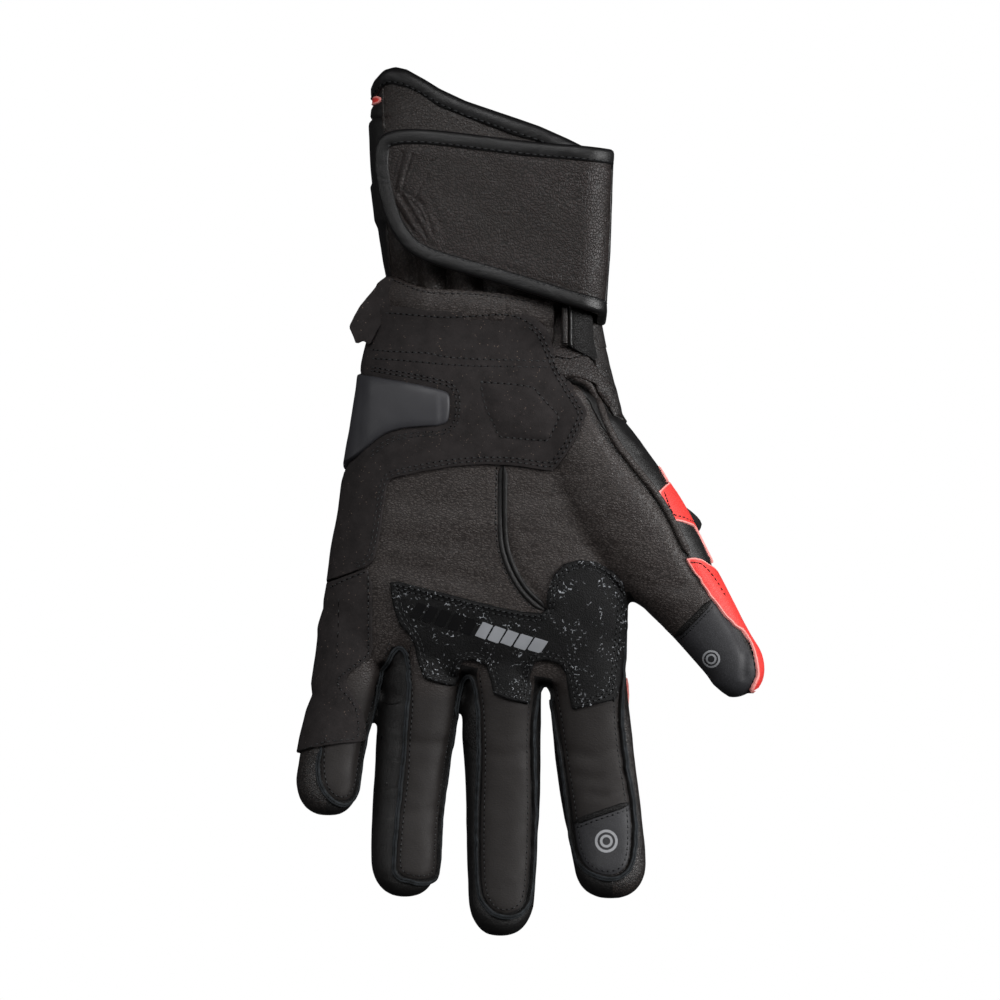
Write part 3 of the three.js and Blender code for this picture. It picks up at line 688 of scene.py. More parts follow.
# %% [markdown]
# The patch itself keeps its distance to the cut edge as an attribute, `edge_distance`, so a material can show the
# raw edge of a dyed hide.

# %% Patches
INNER_RING = 2.4  # the last ring of points along a cut edge, in widths of its rounding


def patch(outline, thickness, side=None, surface=None, spacing=1.3, edge=0.45, lift=0.05, relief=None,
          rough_cut=0.08, rounds=1, dense=None):
    """outline is in mm. relief(plan points, distance to the edge) adds height. dense is a box (low x, low y,
    high x, high y) with a finer mesh, for sharp creases. Returns a closed mesh."""
    surface = surface or skin_surface
    spacing = spacing * 1
    line = leftwards(resample(smooth_line(outline, True, rounds), spacing, True))
    line = line + rough_cut * np.column_stack((lattice_noise(line, 2.5, 5), lattice_noise(line, 2.5, 6)))
    if side:
        line = leftwards(resample(side.flatten(line), spacing, True))
    count = len(line)
    extra = []
    for step in (edge * 0.5, edge, edge * INNER_RING):
        ring = offset_line(line, step, True)
        extra.append(ring[(distance_to(ring, line, True) > step * 0.9) & inside(ring, line)])
    low, high = line.min(axis=0), line.max(axis=0)
    grid = even_points(*low, *high, spacing)
    if dense:
        in_box = (grid[:, 0] > dense[0]) & (grid[:, 1] > dense[1]) & (grid[:, 0] < dense[2]) & (grid[:, 1] < dense[3])
        grid = np.vstack((grid[~in_box], even_points(*dense, spacing * 0.42)))
    grid = grid[inside(grid, line)]
    grid = grid[distance_to(grid, line, True) > edge * INNER_RING + spacing * 0.45]
    points = np.vstack([line] + extra + [grid])
    found, _, faces, *_ = geometry.delaunay_2d_cdt(
        [Vector(p) for p in points], [(i, (i + 1) % count) for i in range(count)], [], 1, 1e-5
    )
    flat = np.array([tuple(p) for p in found])
    faces = [f for f in faces if len(f) == 3]
    border_distance = distance_to(flat, line, True)
    place, normal = look_up(surface, side, flat)
    plan = flat @ np.array((side.out, side.along)) if side else flat
    rise = np.clip(border_distance / edge, 0, 1)
    height = thickness - edge * (1 - np.sqrt(1 - (1 - rise) ** 2))
    if relief:
        height = height + relief(plan, border_distance)
    top = place + normal * (lift + height)[:, None]
    bottom = place + normal * (lift - 0.1)
    size = len(flat)
    used = {(f[k], f[(k + 1) % 3]): True for f in faces for k in range(3)}
    border = [(a, b) for a, b in used if (b, a) not in used]
    every = [list(f) for f in faces] + [[size + i for i in reversed(f)] for f in faces]
    every += [(b, a, size + a, size + b) for a, b in border]
    mesh = mesh_from(np.vstack((top, bottom)), every)
    mesh.attributes.new("edge_distance", "FLOAT", "POINT").data.foreach_set(
        "value", np.tile(border_distance, 2).astype(np.float32)
    )
    return outward(mesh)


def outward(mesh):
    """Turns the faces of a closed mesh outwards."""
    v, _, t = arrays(mesh)
    a, b, c = v[t[:, 0]], v[t[:, 1]], v[t[:, 2]]
    if np.einsum("ij,ij->i", a, np.cross(b, c)).sum() < 0:
        mesh.flip_normals()
    return mesh


print("patch ready: outline, thickness, side, relief")

# %% [markdown]
# ## Ridges
#
# A `ridge` sweeps a small section along a line: the raised seams, the piping and the bindings. The section stands
# on the surface because its up follows the normals, and a little wobble keeps it from looking machined.

# %% Ridges
def sweep(places, normals, section, closed=False, scale=None, wobble=0.0):
    """A closed section of (across, up) points swept along places; up follows the normals."""
    places, normals = np.asarray(places), np.asarray(normals)
    section = np.asarray(section, float)
    count = len(places)
    tangent = directions(places, closed)
    tangent /= np.maximum(np.linalg.norm(tangent, axis=1), 1e-9)[:, None]
    across = np.cross(normals, tangent)
    across /= np.maximum(np.linalg.norm(across, axis=1), 1e-9)[:, None]
    up = np.cross(tangent, across)
    scale = np.ones(count) if scale is None else scale
    jitter = wobble * lattice_noise(places, 3.0, 3)
    tall = scale * (1 + 0.5 * wobble * lattice_noise(places, 4.0, 4))
    vertices = []
    for i in range(count):
        lean = section[:, 1:] * jitter[i]
        vertices.append(
            places[i] + (section[:, :1] * scale[i] + lean) * across[i] + section[:, 1:] * tall[i] * up[i]
        )
    size = len(section)
    faces = []
    for i in range(count if closed else count - 1):
        j = (i + 1) % count
        for k in range(size):
            m = (k + 1) % size
            faces.append((i * size + k, j * size + k, j * size + m, i * size + m))
    if not closed:
        faces.append(list(range(size)))
        faces.append([(count - 1) * size + k for k in reversed(range(size))])
    return outward(mesh_from(np.vstack(vertices), faces))


def smooth_normals(normals, rounds, closed=False):
    for _ in range(rounds):
        if closed:
            normals = normals + np.roll(normals, 1, axis=0) + np.roll(normals, -1, axis=0)
        else:
            padded = np.vstack((normals[:1], normals, normals[-1:]))
            normals = padded[:-2] + padded[1:-1] + padded[2:]
        normals = normals / np.linalg.norm(normals, axis=1)[:, None]
    return normals


TAPER = 3.0  # a ridge grows to its full size over this length, in mm


def ridge(line, section, step=0.8, lift=0.0, wobble=0.0, lowest=0.0):
    """A section swept along a line on the skin. It stands upright where the skin lies below lowest."""
    points = resample(smooth_line(line), step)
    places, normals = look_up(skin_surface, None, points)
    if lowest:
        normals[places[:, 2] < lowest] = (0, 0, 1)
        height = np.pad(np.maximum(places[:, 2], lowest), 3, mode="edge")
        places[:, 2] = np.convolve(height, np.ones(7) / 7, "valid")
    normals = smooth_normals(normals, 4)
    s = np.arange(len(points)) * step
    scale = np.clip(np.minimum(s, s[::-1]) / TAPER, 0.12, 1) ** 0.5
    return sweep(places + normals * lift, normals, section, scale=scale, wobble=wobble)


def oval(width, height, sink=0.3, power=0.8, sides=14):
    """A low rounded section that sits on the surface."""
    angle = np.linspace(0, math.pi, sides)
    cos, sin = np.cos(angle), np.sin(angle)
    top = np.column_stack((np.sign(cos) * abs(cos) ** power * width / 2, sin**power * height))
    return np.vstack((top, [(-width / 2, -sink), (width / 2, -sink)]))


print("an oval section has", len(oval(2, 1)), "points")

# %% [markdown]
# ## Pieces
#
# `piece` makes the object, notes its material, prints the slot of the record, lets it ride on the glove, and
# hides the CAD nodes it stands for. Materials are made later, so it only keeps their names.

# %% Keeping pieces
made = {}
pending = []


def piece(name, mesh, material, slot, *nodes, sharp=38):
    mesh.name = name
    obj = bpy.data.objects.new(name, mesh)
    bpy.context.scene.collection.objects.link(obj)
    mesh.polygons.foreach_set("use_smooth", [True] * len(mesh.polygons))
    mesh.set_sharp_from_angle(angle=math.radians(sharp))
    if mesh.materials:
        mesh.materials.clear()
    pending.extend((mesh, look) for look in (material if isinstance(material, tuple) else (material,)))
    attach(obj, "root")
    if nodes:
        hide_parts(*nodes)
    made[name] = obj
    print(f"{name}: {len(mesh.polygons):,} faces, {slot}")
    return obj


# %% [markdown]
# ## Regions of the panels
#
# Each leather panel is the part of the shell that stands over its outline, above or below the middle of the
# glove. Neighbours reach 0.02 mm into each other, so nothing shows between them and they never share a wall.

# %% Regions of the front and the back
GAP = -0.01  # room at a panel's border, in mm; it is below zero, so neighbours overlap by a hair
fronts = [drawn(p) for p in FINGER_FRONTS.values()]
front_lines = [rounded(p, 1.5) for p in fronts]
palm_line = smooth_line(drawn(PALM), True, 1)
thumb_line = smooth_line(drawn(THUMB), True, 1)
back_line = smooth_line(drawn(BACK), True, 1)


def back_panel_line(rows):
    """Outline of a finger's back panel, set in from its sides and tip."""
    table = curve_through(rows[:-1], 14)
    tip = np.array(rows[-1][:2])
    centres = np.vstack((table[:, :2], tip))
    along = centres[1:] - centres[:-1]
    along /= np.hypot(*along.T)[:, None]
    across = np.column_stack((-along[:, 1], along[:, 0]))
    half = table[:, 3:4] - 3.4
    end, reach = table[-1, :2], np.hypot(*(tip - table[-1, :2])) - 5
    arc = [
        end + across[-1] * half[-1] * math.cos(a) + along[-1] * reach * math.sin(a)
        for a in np.linspace(0, math.pi, 9)[1:-1]
    ]
    return np.vstack((table[:, :2] + across * half, arc, (table[:, :2] - across * half)[::-1]))


finger_backs = [back_panel_line(DIGITS[k]) for k in ("little", "ring", "middle", "index")]
INDEX_TIP = drawn([(550, 830), (572, 823), (600, 812), (628, 803), (660, 792), (660, 920), (550, 920)])
THUMB_TIP = drawn([(640, 668), (674, 637), (693, 619), (713, 600), (735, 580), (800, 640), (760, 760)])


def region(lines, low, high):
    columns = [column(line, low, high) for line in lines]
    return carve(columns[0], *[("UNION", c) for c in columns[1:]])


front_all, back_all = front_lines + [palm_line], finger_backs + [back_line]
front_region = region(front_all, MIDDLE_Z, FAR_ABOVE)
back_region = region(back_all, FAR_BELOW, MIDDLE_Z)
front_panels = region([drawn_shrunk(line, GAP * 2) for line in front_all], MIDDLE_Z + GAP, FAR_ABOVE)
back_panels = region([drawn_shrunk(line, GAP * 2) for line in back_all], FAR_BELOW, MIDDLE_Z - GAP)
print(f"front region {len(front_region.polygons)} faces, back region {len(back_region.polygons)} faces")

# %% [markdown]
# ## Palm, touch tips, thumb and back
#
# The palm and the four finger fronts are one hide on the real glove. The tips of index finger and thumb are
# separate caps of conductive leather for a touch screen, so they are cut off here and get their own material.

# %% Palm, touch tips, thumb and back
palm = carve(shell, ("INTERSECT", front_panels))
piece("palm_leather_fine", carve(palm, ("DIFFERENCE", column(drawn_shrunk(INDEX_TIP, -GAP)))), "leather",
      "black_leather", "palm_leather")
piece("index_touch_tip_fine", carve(palm, ("INTERSECT", column(drawn_shrunk(INDEX_TIP, GAP)))), "touch",
      "grey_touch_leather", "index_touch_tip")
thumb = carve(shell, ("INTERSECT", column(drawn_shrunk(thumb_line, GAP * 2), MIDDLE_Z + GAP, FAR_ABOVE)))
piece("thumb_leather_fine", carve(thumb, ("DIFFERENCE", column(drawn_shrunk(THUMB_TIP, -GAP)))), "leather",
      "black_leather", "thumb_leather")
piece("thumb_touch_tip_fine", carve(thumb, ("INTERSECT", column(drawn_shrunk(THUMB_TIP, GAP)))), "touch",
      "grey_touch_leather", "thumb_touch_tip")
piece("back_leather_fine", carve(shell, ("INTERSECT", back_panels)), "smooth", "smooth_black_leather",
      "back_leather")

# %% [markdown]
# ## Side walls and fourchettes
#
# A glove gets its depth from strips between front and back: a fourchette is the forked strip between two
# fingers, and a wall closes each outer side. They are what is left of the shell once front and back are taken away.

# %% Side walls and fourchettes
CUFF_FROM = 60  # the cuff is sewn on here, in mm


def cuff_side(y):
    """A column over everything on the cuff's side of y."""
    return column([(-120, y), (120, y), (120, 200), (-120, 200)])


sides = carve(shell, ("DIFFERENCE", front_region), ("DIFFERENCE", back_region),
              ("DIFFERENCE", column(thumb_line, MIDDLE_Z, FAR_ABOVE)),
              ("DIFFERENCE", cuff_side(CUFF_FROM + GAP)))


def middle_line(name):
    return [tuple(row[:2]) for row in DIGITS[name][:-1]] + [tuple(DIGITS[name][-1][:2])]


def between(one, other):
    a, b = middle_line(one), middle_line(other)
    beyond_a, beyond_b = (a[-1][0], a[-1][1] - 25), (b[-1][0], b[-1][1] - 25)
    return drawn_shrunk(np.array([beyond_a] + a[::-1] + b + [beyond_b]), GAP)


for one, other in (("little", "ring"), ("ring", "middle"), ("middle", "index")):
    node = f"fourchette_{one}_{other}"
    piece(node + "_fine", carve(sides, ("INTERSECT", column(between(one, other)))), "smooth",
          "smooth_black_leather", node)
little, index = middle_line("little"), middle_line("index")
LITTLE_SIDE = little + [(little[-1][0], -150), (-130, -150), (-130, 60), (-40, 60), (-40, -20)]
INDEX_SIDE = index + [(index[-1][0], -170), (60, -170), (60, -78), (37, -36.5), (33, -20), (40, -5), (50, 8),
                      (120, 8), (120, 60), (0, 60), (0, -20)]
THUMB_AREA = [(33, -20), (37, -36.5), (60, -78), (95, -78), (95, 8), (50, 8), (40, -5)]
for node, area in (("little_side_wall", LITTLE_SIDE), ("index_side_wall", INDEX_SIDE),
                   ("thumb_side_wall", THUMB_AREA)):
    piece(node + "_fine", carve(sides, ("INTERSECT", column(drawn_shrunk(np.array(area, float), GAP)))),
          "thumb_side" if node == "thumb_side_wall" else "side_leather", "smooth_black_leather", node)

# %% [markdown]
# ## Cuff
#
# The gauntlet cuff is wide enough to go over a sleeve. Its front is grained leather, and its back and sides are
# smooth.

# %% Cuff
cuff_line = drawn(CUFF_FRONT)
cuff = carve(shell, ("INTERSECT", cuff_side(CUFF_FROM - GAP)))
cuff_column, cuff_cut = (column(drawn_shrunk(cuff_line, gap), MIDDLE_Z, FAR_ABOVE) for gap in (GAP, -GAP))
piece("cuff_front_fine", carve(cuff, ("INTERSECT", cuff_column)), "cuff", "black_leather", "cuff_front")
piece("cuff_back_fine", carve(cuff, ("DIFFERENCE", cuff_cut)), "smooth", "smooth_black_leather", "cuff_back")

# %% [markdown]
# ## Overlays: their outlines
#
# Suede, slider, grip patch and red panels are sewn on the skin. The heel, the slider and the edge patch run round
# the little-finger side, so their drawings go on past the silhouette.

# %% Outlines of the overlays
HEEL = drawn([
    (381, 310), (397, 311), (428, 314), (447, 315.5), (474, 314), (503, 312), (516, 314), (531, 321), (543, 331),
    (549, 344), (553, 354), (561, 373), (571, 389), (584, 409), (586, 417), (576, 438), (563, 459), (553, 471),
    (543, 470), (512, 464.5), (471, 464.5), (433, 469.5), (398, 477), (390, 479.5), (386.5, 491), (382.5, 522),
    (378.5, 546), (373, 564), (350, 573), (328, 583), (312, 588), (290, 590), (295, 470), (300, 400), (322, 352),
    (369, 345),
])
SLIDER = drawn([
    (320, 372), (362, 375), (369, 377), (416, 385), (437, 390), (447, 392), (451, 398), (450, 418), (446, 425.5),
    (416, 427), (397, 430), (382, 436), (365, 450), (350, 463), (318, 474), (306, 470), (310, 376),
])
EDGE = drawn([
    (373, 565.5), (373, 640), (373, 650), (370, 656.5), (360, 664), (350, 672), (347, 677), (347, 686), (353, 696),
    (360, 706), (363, 720), (364, 738), (361, 741.5), (334, 744), (318, 747.5), (305, 752.5), (298, 755), (285, 756),
    (272, 752), (280, 640), (292, 592), (312, 589.5), (328, 584.5), (350, 574.5),
])
EDGE_ROW = drawn([
    (331, 587), (345, 580), (360, 574), (368, 571), (368.8, 577), (368.8, 654), (360, 661), (351, 668), (340, 676),
    (337.5, 681), (339, 687), (350, 698), (356, 707), (358.5, 722), (358.5, 736), (354, 738.5), (334, 740),
    (318, 743), (306, 748),
])
GRIP = drawn([
    (390.5, 582), (398, 581), (446, 593), (496, 606), (521, 611), (541, 613), (546, 609), (547, 593), (553, 575),
    (565, 563), (579, 559.5), (596, 561.5), (613, 571), (623, 583), (626, 594), (623, 640), (618, 682), (614, 699),
    (573, 709.5), (570, 693), (566, 673), (559, 663), (546, 658.5), (535, 661), (530, 674), (528, 704), (508, 699),
    (494, 693), (490, 676), (486, 664), (473, 658.5), (462, 661), (457, 674), (452, 686), (435, 681.5), (424, 677),
    (418, 660), (415, 644), (410, 634), (400, 624), (394, 606),
])
PAD = drawn([
    (482, 383), (512, 385), (533, 388), (543, 400), (559, 417), (548, 441), (531, 440), (499, 437), (493, 423),
    (486, 408), (482, 392),
])
for name, outline in (("heel", HEEL), ("slider", SLIDER), ("edge", EDGE), ("grip", GRIP)):
    print(f"{name} patch is cut {np.ptp(outline[:, 0]):.0f} x {np.ptp(outline[:, 1]):.0f} mm")

# %% [markdown]
# ## Overlays: their relief
#
# The heel patch is padded where a hand leans on the bar, and pulled down along its stitch rows. The slider is a
# hard moulded plate that lets the hand glide in a fall, set into a window of the suede. The grip patch has a
# thickened rim.

# %% Suede, slider and grip
def suede_relief(points, _):
    """The quilted pad stands out a little, and the stitched rows round the slider pull the suede down."""
    pad = distance_to(points, PAD, True)
    swell = np.where(inside(points, PAD), np.clip(pad / 6, 0, 1) ** 0.6 * 1.1, 0)
    row = -0.35 * groove(pad, 0.9)
    slider = distance_to(points, SLIDER, True)
    opening = np.where(inside(points, SLIDER), -1.35 * np.clip(slider / 1.5, 0, 1), 0)
    strap = distance_to(points, drawn([(385, 313), (503, 314), (531, 323), (547, 338)]))
    over_strap = 3.9 * groove(strap, 5.5)
    hem = -0.4 * groove(slider, 2.0)
    return swell + row + over_strap + opening + hem + 0.12 * lattice_noise(points, 5, 8)


def slider_relief(points, distance):
    """A hard plate with a flatter bevelled strip at its inner end."""
    step = np.clip((points[:, 0] + 31.5) / 0.8, 0, 1)
    flat = np.clip((points[:, 0] + 61) / 5, 0, 1)
    return (0.5 + 0.4 * np.clip(distance / 2, 0, 1)) * flat - 0.6 * step


def grip_relief(points, distance):
    return 0.35 * groove(distance - 0.9, 0.7) + 0.05 * lattice_noise(points, 2, 9)


piece("heel_patch_fine", patch(HEEL, 1.5, LEFT, relief=suede_relief, spacing=1.2), "suede", "black_suede",
      "heel_patch")
piece("edge_patch_fine", patch(EDGE, 1.4, LEFT, spacing=1.2), "suede", "black_suede", "edge_patch")
piece("palm_slider_fine", patch(SLIDER, 1.7, LEFT, edge=0.8, relief=slider_relief, rough_cut=0, spacing=1.0,
                                lift=0.3), "plastic", "grey_plastic", "palm_slider")
piece("grip_patch_fine", patch(GRIP, 1.4, relief=grip_relief, spacing=0.9, edge=0.3, rounds=0), "grip",
      "grip_rubber", "grip_patch")

# %% [markdown]
# ## Red thumb panels
#
# The coral panels on the outer side of the thumb are cut from thin dyed hide and wrap round the thumb, so they
# are laid on the thumb's own side.

# %% Red thumb panels
RED_UPPER = drawn([
    (659, 491), (665, 486), (672, 480), (676, 485), (683, 494), (690, 502), (696, 512), (701, 525), (705, 540),
    (711, 553), (718, 562), (709, 556), (706, 548), (703, 538), (699, 531.5), (692, 525), (681, 521), (672, 519.5),
    (669, 516), (665, 507), (661.5, 499),
])
RED_SPUR = drawn([(663, 464.5), (666, 464), (668, 470), (672, 480), (668, 482), (665.5, 475)])
RED_LOWER = drawn([
    (686, 558.5), (692, 557.5), (700, 559), (710, 566), (722, 580), (732, 595), (741, 612), (752, 630), (764, 648),
    (769, 664), (766, 680), (757, 692), (745, 696.5), (748, 688.5), (753.5, 676), (752, 660), (749, 645), (741, 631),
    (725, 617), (710, 597), (697, 577),
])
RED_CUT = {"spacing": 0.8, "edge": 0.25, "rough_cut": 0.3, "rounds": 0}
for name, outline in (("thumb_red_upper", RED_UPPER), ("thumb_red_lower", RED_LOWER)):
    piece(name + "_fine", patch(outline, 1.1, THUMB_SIDE, thumb_surface, **RED_CUT), "red", "red_leather", name)
piece("thumb_red_spur", patch(RED_SPUR, 1.0, THUMB_SIDE, thumb_surface, **RED_CUT), "red", "red_leather")

# %% [markdown]
# ## Mouth binding
#
# A smooth tape is folded over the raw edge of the cuff. Its section is swept round the open end, over the edge
# and down inside, so the mouth looks finished from every side.

# %% Mouth binding
def mouth_rim():
    """The ring where the skin meets the mouth, with outward normals."""
    cos, sin = ellipse_points(220, 2 / 2.7)
    places = []
    for c, s in zip(cos, sin):
        y = 150.0
        for _ in range(6):
            row = [np.interp(-y, [-r[0] for r in BODY], [r[k] for r in BODY]) for k in range(1, 5)]
            x = (row[0] + row[1]) / 2 + (row[1] - row[0]) / 2 * c
            y = np.interp(x, MOUTH[:, 0], MOUTH[:, 1])
        places.append((x, y, (row[2] + row[3]) / 2 + (row[3] - row[2]) / 2 * s))
    places = np.array(places)
    normals = np.cross(directions(places, True), (0, 1, 0))
    normals /= np.linalg.norm(normals, axis=1)[:, None]
    centre = places.mean(axis=0)
    normals *= np.sign(np.einsum("ij,ij->i", normals, places - centre))[:, None]
    return places, smooth_normals(normals, 3, True)


rim, rim_normals = mouth_rim()
TAPE = [
    (-5.8, 0.1), (-5.75, 0.75), (-5.3, 1.0), (-3.4, 1.35), (-1.6, 1.35), (-0.4, 0.9), (0.2, 0.0), (0.4, -1.2),
    (0.0, -2.5), (-1.2, -3.4), (-3.2, -3.8), (-5.4, -3.6), (-5.8, -3.0), (-5.8, -2.0), (-3.0, -1.9), (-3.0, -0.4),
    (-5.7, -0.3),
]
rim_vertices = [
    [p + np.array((0, a * (1 + 0.05 * math.sin(i * 0.4)), 0)) + q * u for a, u in TAPE]
    for i, (p, q) in enumerate(zip(rim, rim_normals))
]
size = len(TAPE)
rim_faces = [
    (i * size + k, ((i + 1) % len(rim)) * size + k, ((i + 1) % len(rim)) * size + (k + 1) % size,
     i * size + (k + 1) % size)
    for i in range(len(rim)) for k in range(size)
]
piece("mouth_binding_fine", outward(mesh_from(np.vstack(rim_vertices), rim_faces)), "binding", "black_binding",
      "mouth_binding", sharp=60)

# %% [markdown]
# ## Closure flap
#
# The flap closes the cuff over the sleeve. It is a stiff padded sheet that keeps its own form, with hard creases
# near its end where it is always pulled open. Creases need a finer mesh than the rest, so that corner is dense.
# It isn't jointed.

# %% Closure flap
FLAP = drawn([
    (378.5, 146), (385, 137), (397, 133.5), (410, 132.5), (440, 134), (487, 140), (532, 145.5), (578, 149),
    (600, 151.5), (640, 155), (650, 160), (650, 322), (636, 326), (606, 319), (590, 313), (566, 306), (544, 299),
    (508, 288), (474, 278), (441, 269), (418, 260), (404, 249), (391, 229), (383, 205), (378, 182), (376.5, 163),
])
ROLLED = Rolled()
FLAP_CREASES = [
    ([(397, 192), (400, 176), (405, 156)], 0.5, 0.55), ([(402, 188), (406, 172), (411, 156)], 0.9, -0.35),
    ([(404, 196), (407, 178), (414, 158)], 0.5, 0.5), ([(415, 206), (420, 192), (429, 178)], 0.5, 0.35),
    ([(402, 196), (410, 212), (418, 226)], 0.5, 0.55), ([(395, 205), (404, 218), (413, 232)], 0.5, 0.5),
    ([(398, 200), (408, 214), (416, 230)], 0.7, -0.35), ([(405, 199), (417, 220), (428, 241)], 0.5, 0.45),
    ([(421, 204), (428, 218), (433, 236)], 0.6, 0.4), ([(408, 196), (424, 206), (440, 226)], 0.8, 0.2),
    ([(393, 212), (402, 223), (410, 235)], 0.45, 0.4), ([(396, 178), (398, 166), (402, 156)], 0.45, 0.35),
    ([(430, 200), (440, 222), (446, 246)], 1.2, 0.15), ([(424, 172), (432, 165), (446, 161)], 0.8, 0.15),
    ([(412, 203), (420, 212), (426, 224)], 0.4, 0.3), ([(409, 186), (414, 172), (420, 163)], 0.4, 0.25),
]


def flap_relief(points, distance):
    total = 0.2 * lattice_noise(points, 9, 11) + 0.06 * lattice_noise(points, 2.5, 12)
    for line, width, depth in FLAP_CREASES:
        total = total - depth * groove(distance_to(points, drawn(line)), width)
    return total - 0.3 * groove(distance - 5.6, 1.2)


closure_flap = piece("closure_flap_fine", patch(FLAP, 1.8, ROLLED, relief=flap_relief, spacing=1.0,
                                                 dense=(-48.5, 92, -29, 124)), "flap",
                     "black_leather", "closure_flap")

# %% [markdown]
# The flap's edge is rolled in a thick smooth binding. It is swept along the flap's outline, a little inside it,
# with the flat side of the section turned inwards.

# %% Flap binding
BAND = [
    (-2.6, -2.4), (-3.0, -1.0), (-2.9, 0.1), (-2.4, 0.75), (-1.4, 1.0), (0.4, 0.95), (1.6, 0.75), (2.1, 0.6),
    (2.35, 0.35), (2.4, -0.3), (2.3, -2.4),
]
BAND_INSET = 2.8  # from the flap's edge to the middle of the binding, in mm
flap_path = drawn_shrunk(rounded(FLAP, 1.0), BAND_INSET)
flap_points = resample(ROLLED.flatten(flap_path), 1.0, True)
places, normals = look_up(skin_surface, ROLLED, flap_points)
across = offset_line(flap_points, 1, True) - flap_points
inwards = distance_to(flap_points[:1] + across[:1], FLAP, True)[0] > BAND_INSET
section = BAND if inwards else [(-a, u) for a, u in BAND]
binding = piece("flap_binding_fine", sweep(places + normals * 1.75, smooth_normals(normals, 3, True), section,
                                           True, wobble=0.08), "binding", "black_binding", "flap_binding", sharp=50)

# %% [markdown]
# ## Wrist strap, tab and keeper
#
# A strap draws the glove in at the wrist. It runs from its suede end tab under the heel patch, through a stitched
# keeper, to a loop on the thumb side. Each is a short formula of height, because they bridge from bump to bump.

# %% Wrist strap, tab and keeper
STRAP = drawn([
    (380, 286), (388, 277.5), (394, 277), (416, 287), (432, 290.5), (474, 292), (512, 296), (541, 301.5),
    (550, 302.5), (552.5, 304), (553, 320), (553, 346), (545, 340), (531, 330), (503, 321), (447, 322), (397, 321),
    (382, 318), (380, 300),
])
TAB = drawn([
    (386.5, 277), (393, 278.5), (397, 284), (397, 296), (392, 310), (386, 320), (379, 330), (371.5, 344), (369, 345),
    (366, 342), (363.5, 341), (358, 343.5), (356, 343), (354, 337), (351.5, 331), (350, 328), (350.5, 325),
    (355, 316), (361, 306), (367, 298.5), (374, 290), (381, 281.5),
])
KEEPER = drawn([(561.3, 308.5), (567, 307.5), (567.2, 346), (561.3, 344.5)])
KEEPER_RIM = drawn([(567.8, 307), (570.6, 307.5), (570.8, 348.5), (567.8, 347)])
LOOP = drawn([
    (570.8, 309), (589, 313), (590.5, 322), (591, 340), (596, 361), (597, 366), (588, 358), (574, 350.5),
    (570.8, 349),
])


def strap_relief(points, _):
    """Fine upright wrinkles near the middle of the strap."""
    where = groove(points[:, 0] + 10, 8)
    middle = np.interp(points[:, 0], [-53, -36, -20, -4, 9], [76, 72, 71, 70, 68])
    puff = 1.2 * np.clip(1 - ((points[:, 1] - middle) / 6) ** 2, 0, 1)
    return puff + 0.35 * lattice_noise(points * [1, 0.12], 1.5, 13) * where + 0.1 * lattice_noise(points, 3, 14)


STRAP_FORM = Sheet(
    lambda x, y: 43.3 - 0.0042 * (x + 14) ** 2 - 0.006 * max(y - 66, 0) ** 2 - 0.03 * max(-35 - x, 0) ** 2
)
TAB_FORM = Sheet(lambda x, y: 33.9 - 0.16 * max(-49 - x, 0))
KEEPER_FORM = Sheet(lambda x, y: 45.4 - 0.05 * (x - 12) ** 2)
piece("wrist_strap_fine", patch(STRAP, 1.4, surface=STRAP_FORM, relief=strap_relief, spacing=0.8, lift=0.2),
      "leather", "black_leather", "wrist_strap")
piece("strap_end_tab_fine", patch(TAB, 1.6, surface=TAB_FORM, spacing=0.8, rounds=0, lift=0.1), "suede",
      "black_suede", "strap_end_tab")
piece("strap_keeper_fine", patch(KEEPER, 1.7, surface=KEEPER_FORM, spacing=0.5, rounds=0, edge=0.95), "side_leather",
      "smooth_black_leather", "strap_keeper")
piece("strap_keeper_rim", patch(KEEPER_RIM, 1.5, surface=KEEPER_FORM, spacing=0.4, rounds=0, edge=0.45), "binding",
      "smooth_black_leather")
piece("strap_loop_fine", patch(LOOP, 1.2, surface=Sheet(lambda x, y: 44.4 - 0.085 * max(x - 15, 0) ** 2
                                                        - 0.02 * max(60 - y, 0) ** 2), spacing=0.6, rounds=0),
      "smooth_fold", "black_leather")

# %% [markdown]
# ## Thumb side panel
#
# The outer side of the thumb is a soft smooth hide without grain. It is laid over the wall as a thin sheet, so its
# border with the palm's leather is a clean line.

# %% Thumb side panel
THUMB_PANEL = drawn([
    (577, 386.5), (588, 401), (602, 427), (618, 450), (636, 471), (655, 497), (672, 523), (682, 545), (690, 560),
    (712, 562), (712, 520), (690, 490), (664, 455), (645, 432), (630, 420), (622, 412), (614, 412.5), (604, 399.5),
    (594, 389.5), (583, 383),
])
piece("thumb_side_panel", patch(THUMB_PANEL, 0.45, THUMB_SIDE, thumb_surface, edge=0.3, rounds=0), "thumb_side",
      "smooth_black_leather")

# %% [markdown]
# ## Folds at the wrist
#
# Beside the heel patch the leather is drawn together by the strap and stacks up in flat folds. Each is a patch of
# its own, one a little higher than the next, wrapped round the thumb side.

